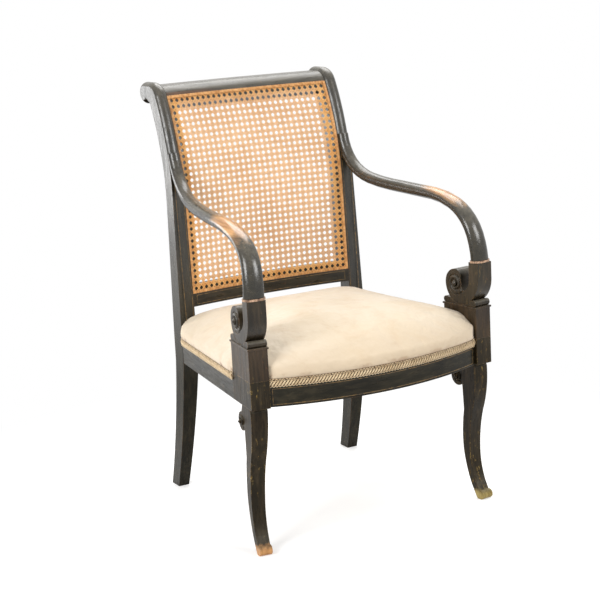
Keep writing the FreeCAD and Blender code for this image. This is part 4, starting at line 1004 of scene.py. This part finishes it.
seat_cloth = seat_material()
seat = new_piece("seat_cushion", seat_form(), seat_cloth)
remesh = seat.modifiers.new("remesh", "REMESH")
remesh.mode = "VOXEL"
remesh.voxel_size = VOXEL
remesh.use_smooth_shade = True
apply(seat, remesh)
inflate(seat)
fit_seat(seat)
smoother = seat.modifiers.new("smooth_seat", "SUBSURF")
smoother.levels = 1
smoother.render_levels = 1
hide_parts("seat_cover", "seat_stuffing")

# The seat's lower edge: the cloth turned down over the rails, and the gimp with its loops and nails on it
CLOTH_LOW = RAIL_TOP - 0.0088
CLOTH_BREAK = RAIL_TOP - 0.0008
CLOTH_BACK = RAIL_TOP + 0.0010
CLOTH_TOP = RAIL_TOP + 0.0095
CLOTH_SLOPE_SHARE = 0.75
CLOSE = 0.0001
CLOTH_THICK = 0.0006
FLAT_LIFT = 0.0007
GIMP_BULGE = 0.0035
TOP_BULGE = 0.0055
LINING_BULGE = 0.0023
GIMP_LOW = RAIL_TOP - 0.011
GIMP_TOP = RAIL_TOP + 0.0045
GIMP_STEP = 0.008
END_SPREAD = 0.002
BRAID_PITCH = 0.0064
STRAND_LOW = RAIL_TOP - 0.0098
STRAND_RISE = 0.0088
STRAND_SLANT = 0.0070
STRAND_STEPS = 5
STRAND_LIFT = 0.0008
STRAND_CROWN = 0.0013
STRAND_RADIUS = 0.0019
STRAND_SIDES = 6
CORD_RADIUS = 0.0010
CORD_SIDES = 4
LOOP_STEPS = 6
FOOT_LOOP = (GIMP_LOW + 0.0010, -0.0024, 0.0009)
HEAD_LOOP = (RAIL_TOP - 0.0004, 0.0040, 0.0010)
HEAD_CORD = (RAIL_TOP - 0.0006, 0.0, 0.0014)
NAIL_PITCH = 0.0224
NAIL_HEIGHT = RAIL_TOP + 0.0015
NAIL_LIFT = 0.0014
NAIL_SIDES = 8
NAIL_PROFILE = ((0.0014, -0.0004), (0.0014, 0.0003), (0.0009, 0.0009), (0.0002, 0.0011))

CLOTH_SECTION = (
    (CLOTH_LOW, CLOSE, 0), (CLOTH_LOW, CLOTH_THICK, 0), (CLOTH_BREAK, FLAT_LIFT, 0),
    (GIMP_TOP, FLAT_LIFT, GIMP_BULGE), (CLOTH_TOP, FLAT_LIFT, TOP_BULGE),
    (CLOTH_TOP, FLAT_LIFT, LINING_BULGE), (CLOTH_BACK, CLOSE, 0))
TAPE_SECTION = (
    (GIMP_LOW, CLOSE), (GIMP_LOW, FLAT_LIFT), (CLOTH_BREAK, FLAT_LIFT), (GIMP_TOP, FLAT_LIFT),
    (GIMP_TOP, CLOSE), (CLOTH_BREAK, CLOSE))


def edge_paths():
    """The rails' outer faces as functions of a length, with their lengths: front, sides and rear."""
    half_angle = asin(front_corner(BLOCK_WIDTH + EDGE_GAP, 0).x / bow_radius)

    def front(run):
        outward = forward_turned(run / bow_radius - half_angle)
        return outward * bow_radius + Vector((0, bow_centre_y + shift_y, 0)), outward

    def beside(sign):
        outward = Vector((sign * side_out.x, side_out.y, 0))
        return lambda run: (side_point(sign, 0, BLOCK_DEPTH + EDGE_GAP + run, 0), outward)

    def rear(run):
        return Vector((STILE_INNER - EDGE_GAP - run, rear_rail_back + shift_y, 0)), BACKWARD

    side_length = (STILE_FRONT - EDGE_GAP) / cos(SPLAY) - BLOCK_DEPTH - EDGE_GAP
    return {
        "front": (front, 2 * half_angle * bow_radius),
        "side_right": (beside(1), side_length),
        "side_left": (beside(-1), side_length),
        "rear": (rear, 2 * STILE_INNER - 2 * EDGE_GAP),
    }


def on_edge(edge, run, height, lift):
    """A place on the cloth along an edge, lifted off it."""
    path, length = edge
    place, outward = path(run)
    slope = CLOTH_SLOPE_SHARE * max(0, height - CLOTH_BREAK) * fade(min(run, length - run) + END_SPREAD)
    return place + outward * (FLAT_LIFT + slope + lift) + UP * height


def turned_down(edge):
    """The cloth's own edge, which bulges out over the gimp away from the ends."""
    path, length = edge
    sections = []
    for run in even(0, length, round(length / GIMP_STEP)):
        place, outward = path(run)
        spread = fade(min(run, length - run))
        sections.append([place + outward * (lift + bulge * spread) + UP * height
                         for height, lift, bulge in CLOTH_SECTION])
    return bar(sections)


def gimp_shade_tape(edge):
    runs = even(0, edge[1], round(edge[1] / GIMP_STEP))
    return bar([[on_edge(edge, run, height, lift) for height, lift in TAPE_SECTION] for run in runs])


def looped(edge, height, rise, lift):
    """A cord that runs in small loops along an edge."""
    line = []
    for run in even(0, edge[1], int(edge[1] / BRAID_PITCH * LOOP_STEPS)):
        line.append(on_edge(edge, run, height + rise * abs(sin(pi * run / BRAID_PITCH)), lift))
    return line


def gimp_braid(edge):
    """A row of plump slanted strands, with looped cords along its head and foot."""
    length = edge[1]
    count = int(length / BRAID_PITCH)
    strands = []
    for number in range(count):
        strand = []
        for share in even(0, 1, STRAND_STEPS):
            run = (number + 0.5) * length / count + (share - 0.5) * STRAND_SLANT
            lift = STRAND_LIFT + STRAND_CROWN * sin(pi * share)
            run = min(max(run, NUDGE), length - NUDGE)
            strand.append(on_edge(edge, run, STRAND_LOW + STRAND_RISE * share, lift))
        strands.append(strand)
    loops = [looped(edge, *loop) for loop in (FOOT_LOOP, HEAD_LOOP, HEAD_CORD)]
    return joined([cords(strands, STRAND_RADIUS, STRAND_SIDES), cords(loops, CORD_RADIUS, CORD_SIDES)])


def nail_heads(edge):
    path, length = edge
    count = max(2, round(length / NAIL_PITCH))
    heads = []
    for number in range(count):
        run = length * (number + 0.5) / count
        outward = path(run)[1]
        centre = on_edge(edge, run, NAIL_HEIGHT, NAIL_LIFT)
        heads.append(bar([ring(centre + outward * lift, outward.cross(UP), UP, radius, NAIL_SIDES)
                          for radius, lift in NAIL_PROFILE]))
    return joined(heads)


def gimp_material():
    g = new_graph("gimp_braid")
    threads = g.noise(g.place(), 700, 2)
    clouds = g.noise(g.place(), 40)
    color = g.mix(g.ramp(threads, 0.3, 0.7), *GIMP_TONES)
    color = g.mix(g.times(g.ramp(clouds, 0.5, 0.7), 0.5), color, GIMP_STAINS)
    # Painted shade in the gaps between the braid's strands.
    color = g.mix(g.ramp(g.crevices(CREVICE_REACH), 0.2, 0.8), color, GIMP_SHADE)
    return g.finish(color, 0.8, g.bump(threads, 0.4, GRAIN_RELIEF), Sheen_Weight=0.2)


edges = edge_paths()
new_piece("seat_cloth_edge", joined([turned_down(edge) for edge in edges.values()]), seat_cloth)
# The dark tape shows between the gimp's strands and loops as painted shade.
shade_tapes = joined([gimp_shade_tape(edge) for edge in edges.values()])
new_piece("gimp_shade_tapes", shade_tapes, shade_tape_cloth, smooth=False)
gimp_thread = gimp_material()
for place, edge in edges.items():
    braid = new_piece("gimp_braid_" + place, gimp_braid(edge), gimp_thread)
    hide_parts("gimp_" + place)
new_piece("gimp_nails", joined([nail_heads(edge) for edge in edges.values()]), nail_iron)

# Under the seat: interlaced webbing, and hessian stretched over it
STRIPS = 4
STRIP_PITCH = 0.080
STRIP_WIDTH = 0.050
STRIP_LAP = 0.016
STRIP_THICK = 0.0008
STRIP_WAVE = 0.00045
STRIP_STEP = 0.008
STRIP_FLAT = 0.03
STRIP_CORNER_SHARES = ((-0.5, -0.5), (0.5, -0.5), (0.5, 0.5), (-0.5, 0.5))
WEBBING_LEVEL = RAIL_TOP + 0.0013
HESSIAN_LEVELS = (RAIL_TOP + 0.0026, RAIL_TOP + 0.0030)
lap_inset = RAIL_THICKNESS - STRIP_LAP
first_cross_y = BLOCK_DEPTH + STRIP_LAP + STRIP_WIDTH / 2
first_long_x = -(STRIPS - 1) / 2 * STRIP_PITCH


def strap(first, last, phase, sign, place_at):
    """A flat strap over and under its crossings; place_at takes a run and a shift sideways."""
    sections = []
    for run in even(first, last, round((last - first) / STRIP_STEP)):
        wave = sign * STRIP_WAVE * cos(pi * (run - phase) / STRIP_PITCH)
        flat = max(0, 1 - min(run - first, last - run) / STRIP_FLAT)
        height = WEBBING_LEVEL + wave * (1 - flat)
        sections.append([place_at(run, side * STRIP_WIDTH) + UP * (height + rise * STRIP_THICK)
                         for side, rise in STRIP_CORNER_SHARES])
    return bar(sections)


def webbing_lengthways():
    straps = []
    last = rear_rail_back - lap_inset
    for number in range(STRIPS):
        x = first_long_x + number * STRIP_PITCH
        edge = abs(x) + STRIP_WIDTH / 2
        first = bow_centre_y - sqrt((bow_radius - lap_inset)**2 - edge**2)
        straps.append(strap(first, last, first_cross_y, (-1)**number,
                            lambda run, side: Vector((x + side, run + shift_y, 0))))
    return joined(straps)


def webbing_crossways():
    straps = []
    for number in range(STRIPS):
        y = first_cross_y + number * STRIP_PITCH
        edge = y + STRIP_WIDTH / 2
        reach = HALF_FRONT - edge * tan(SPLAY) - lap_inset / cos(SPLAY)
        if edge > STILE_FRONT:
            reach = STILE_INNER - NUDGE
        straps.append(strap(-reach, reach, first_long_x, -(-1)**number,
                            lambda run, side: Vector((run, y + side + shift_y, 0))))
    return joined(straps)


def hessian_outline():
    """Half of the sheet's edge: the bow, round the pedestal, the side, round the stile and the rear."""
    bow_reach = bow_radius - lap_inset
    last = asin(front_corner(BLOCK_WIDTH + SEAT_GAP, lap_inset).x / bow_reach)
    outline = [Vector((bow_reach * sin(angle), bow_centre_y - bow_reach * cos(angle), 0))
               for angle in even(0, last, BOW_STEPS)]
    behind_block = side_corner - side_forward * (BLOCK_DEPTH + SEAT_GAP)
    outline.append(behind_block - side_out * (BLOCK_WIDTH + SEAT_GAP))
    outline.append(behind_block - side_out * lap_inset)
    end_x = STILE_INNER - SEAT_GAP
    end_y = STILE_FRONT - SEAT_GAP
    rear_y = rear_rail_back - lap_inset
    outline.append(Vector((HALF_FRONT - end_y * tan(SPLAY) - lap_inset / cos(SPLAY), end_y, 0)))
    outline += [Vector((end_x, end_y, 0)), Vector((end_x, rear_y, 0)), Vector((0, rear_y, 0))]
    return outline


def hessian_form():
    """The sheet, its bounding rectangle and its area."""
    half = hessian_outline()
    whole = mirrored(half)
    sections = [[point + Vector((0, shift_y, level)) for point in whole] for level in HESSIAN_LEVELS]
    area = abs(sum(a.x * b.y - b.x * a.y for a, b in zip(whole, whole[1:] + whole[:1]))) / 2
    depths = [point.y for point in half]
    return bar(sections), (2 * max(point.x for point in half), max(depths) - min(depths)), area


def woven(name, dark, light, scale, strength):
    g = new_graph(name)
    cloth = g.times(*g.threads(scale, 1.2))
    clouds = g.noise(g.place(), 30, 4)
    color = g.mix(g.ramp(g.plus(cloth, g.times(clouds, 0.8)), 0.3, 1.2), dark, light)
    return g.finish(color, 0.85, g.bump(cloth, strength, GRAIN_RELIEF))


jute = woven("webbing_jute", *JUTE, 160, 0.6)
hessian_cloth = woven("hessian_cloth", *HESSIAN, 230, 0.5)
long_webbing = new_piece("webbing_lengthways", webbing_lengthways(), jute, smooth=False)
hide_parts("seat_webbing_long")
cross_webbing = new_piece("webbing_crossways", webbing_crossways(), jute, smooth=False)
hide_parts("seat_webbing_cross")
sheet_form, sheet_flat, sheet_area = hessian_form()
hessian = new_piece("hessian_sheet", sheet_form, hessian_cloth, smooth=False)
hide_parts("seat_hessian")

# Painted lines on the rails and posts
LINE_WIDTH = 0.0011
LINE_THICK = 0.00016
LINE_SUNK = 0.00005
BACK_STEPS = 24
FRONT_STEPS = 40
BACK_LINE_INSET = 0.009
BACK_LINE_LOW = CANE_BOTTOM - 0.0235
BACK_LINE_HIGH = CANE_BOTTOM - 0.0045
FRONT_LINE_INSET = 0.007
FRONT_LINE_LOW = RAIL_BOTTOM + 0.0045
FRONT_LINE_HIGH = GIMP_LOW - 0.0055
POST_LINE_LOW = 0.362
POST_LINE_HIGH = 0.727
POST_LINES = (STILE_INNER + 0.0035, STILE_INNER + 0.0225)


def line_on(place_at, marks):
    """A flat line through marks on a face, given as a function of two lengths and a lift."""
    path = []
    for at, mark in enumerate(marks):
        before = marks[max(at - 1, 0)]
        after = marks[min(at + 1, len(marks) - 1)]
        along = (place_at(*after, 0) - place_at(*before, 0)).normalized()
        outward = (place_at(*mark, NUDGE) - place_at(*mark, 0)).normalized()
        path.append((place_at(*mark, LINE_SUNK), outward.cross(along).normalized(), outward))
    return path


def rectangle_lines(place_at, left, right, low, high, steps):
    runs = even(left, right, steps)
    lines = [line_on(place_at, [(run, height) for run in runs]) for height in (low, high)]
    for run in (left, right):
        lines.append(line_on(place_at, [(run, height) for height in even(low, high, 2)]))
    return lines


def painted_lines():
    def on_back(x, height, lift):
        return back_point(x, height, -lift)

    def on_front(run, height, lift):
        place, outward = edges["front"][0](run)
        return place + outward * lift + UP * height

    back_reach = STILE_INNER - BACK_LINE_INSET
    front_end = edges["front"][1] - FRONT_LINE_INSET
    lines = rectangle_lines(on_back, -back_reach, back_reach, BACK_LINE_LOW, BACK_LINE_HIGH, BACK_STEPS)
    lines += rectangle_lines(on_front, FRONT_LINE_INSET, front_end, FRONT_LINE_LOW, FRONT_LINE_HIGH,
                             FRONT_STEPS)
    heights = even(POST_LINE_LOW, POST_LINE_HIGH, BACK_STEPS)
    for sign in (1, -1):
        for x in POST_LINES:
            lines.append(line_on(on_back, [(sign * x, height) for height in heights]))
    return ribbons(lines, LINE_WIDTH, LINE_THICK)


new_piece("painted_lines", painted_lines(), line_paint, smooth=False)

# Studio: a pale floor, white surroundings and four soft lamps, as (name, place, size, power)
FLOOR_REACH = 14
FLOOR_GREY = (0.8, 0.8, 0.8)
FLOOR_GLOW = 0.40
WHITE = (1, 1, 1)
SHADOW_END = 0.45
WHITE_FROM = 1.0
SKY_LIGHT = 0.36
LAMP_TARGET = Vector((0, 0, 0.45))
LAMPS = (
    ("left", (-2.8, -1.2, 1.9), 1.3, 66),
    ("front", (1.5, -2.7, 2.1), 1.4, 52),
    ("top", (0.9, 1.1, 2.9), 2.0, 60),
    ("behind", (-1.7, 2.3, 0.9), 1.3, 30),
)


def pale_floor():
    """A floor that shows the chair's shadow near it and is white further out."""
    g = new_graph("pale_floor")
    diffuse = g.fill(g.add("ShaderNodeBsdfDiffuse"), Color=FLOOR_GREY).outputs[0]
    lifted = g.add("ShaderNodeAddShader")
    g.put(lifted.inputs[0], diffuse)
    g.put(lifted.inputs[1], g.fill(g.add("ShaderNodeEmission"), Strength=FLOOR_GLOW).outputs[0])
    white = g.add("ShaderNodeEmission").outputs[0]
    far = g.ramp(g.vector("LENGTH", g.place()), SHADOW_END, WHITE_FROM, smooth=True)
    g.white_where_seen(diffuse, g.blend(far, lifted.outputs[0], white))
    return g.owner


def lay_floor():
    mesh = bpy.data.meshes.new("floor")
    corners = [(x * FLOOR_REACH, y * FLOOR_REACH, 0) for x, y in ((-1, -1), (1, -1), (1, 1), (-1, 1))]
    mesh.from_pydata(corners, [], [(0, 1, 2, 3)])
    mesh.materials.append(pale_floor())
    floor = add_object("floor", mesh)


def light_sky():
    world = bpy.data.worlds.new("sky")
    bpy.context.scene.world = world
    g = Graph(world, "ShaderNodeOutputWorld")
    lit = g.fill(g.add("ShaderNodeBackground"), Color=WHITE, Strength=SKY_LIGHT).outputs[0]
    white = g.fill(g.add("ShaderNodeBackground"), Color=WHITE).outputs[0]
    g.white_where_seen(lit, white)


def hang_lamps():
    for name, place, size, power in LAMPS:
        data = bpy.data.lights.new(name, "AREA")
        data.size = size
        data.energy = power
        lamp = add_object(name, data)
        lamp.location = place
        lamp.rotation_mode = "QUATERNION"
        lamp.rotation_quaternion = (lamp.location - LAMP_TARGET).to_track_quat("Z", "Y")


lay_floor()
light_sky()
hang_lamps()
bpy.context.scene.view_settings.view_transform = "Standard"
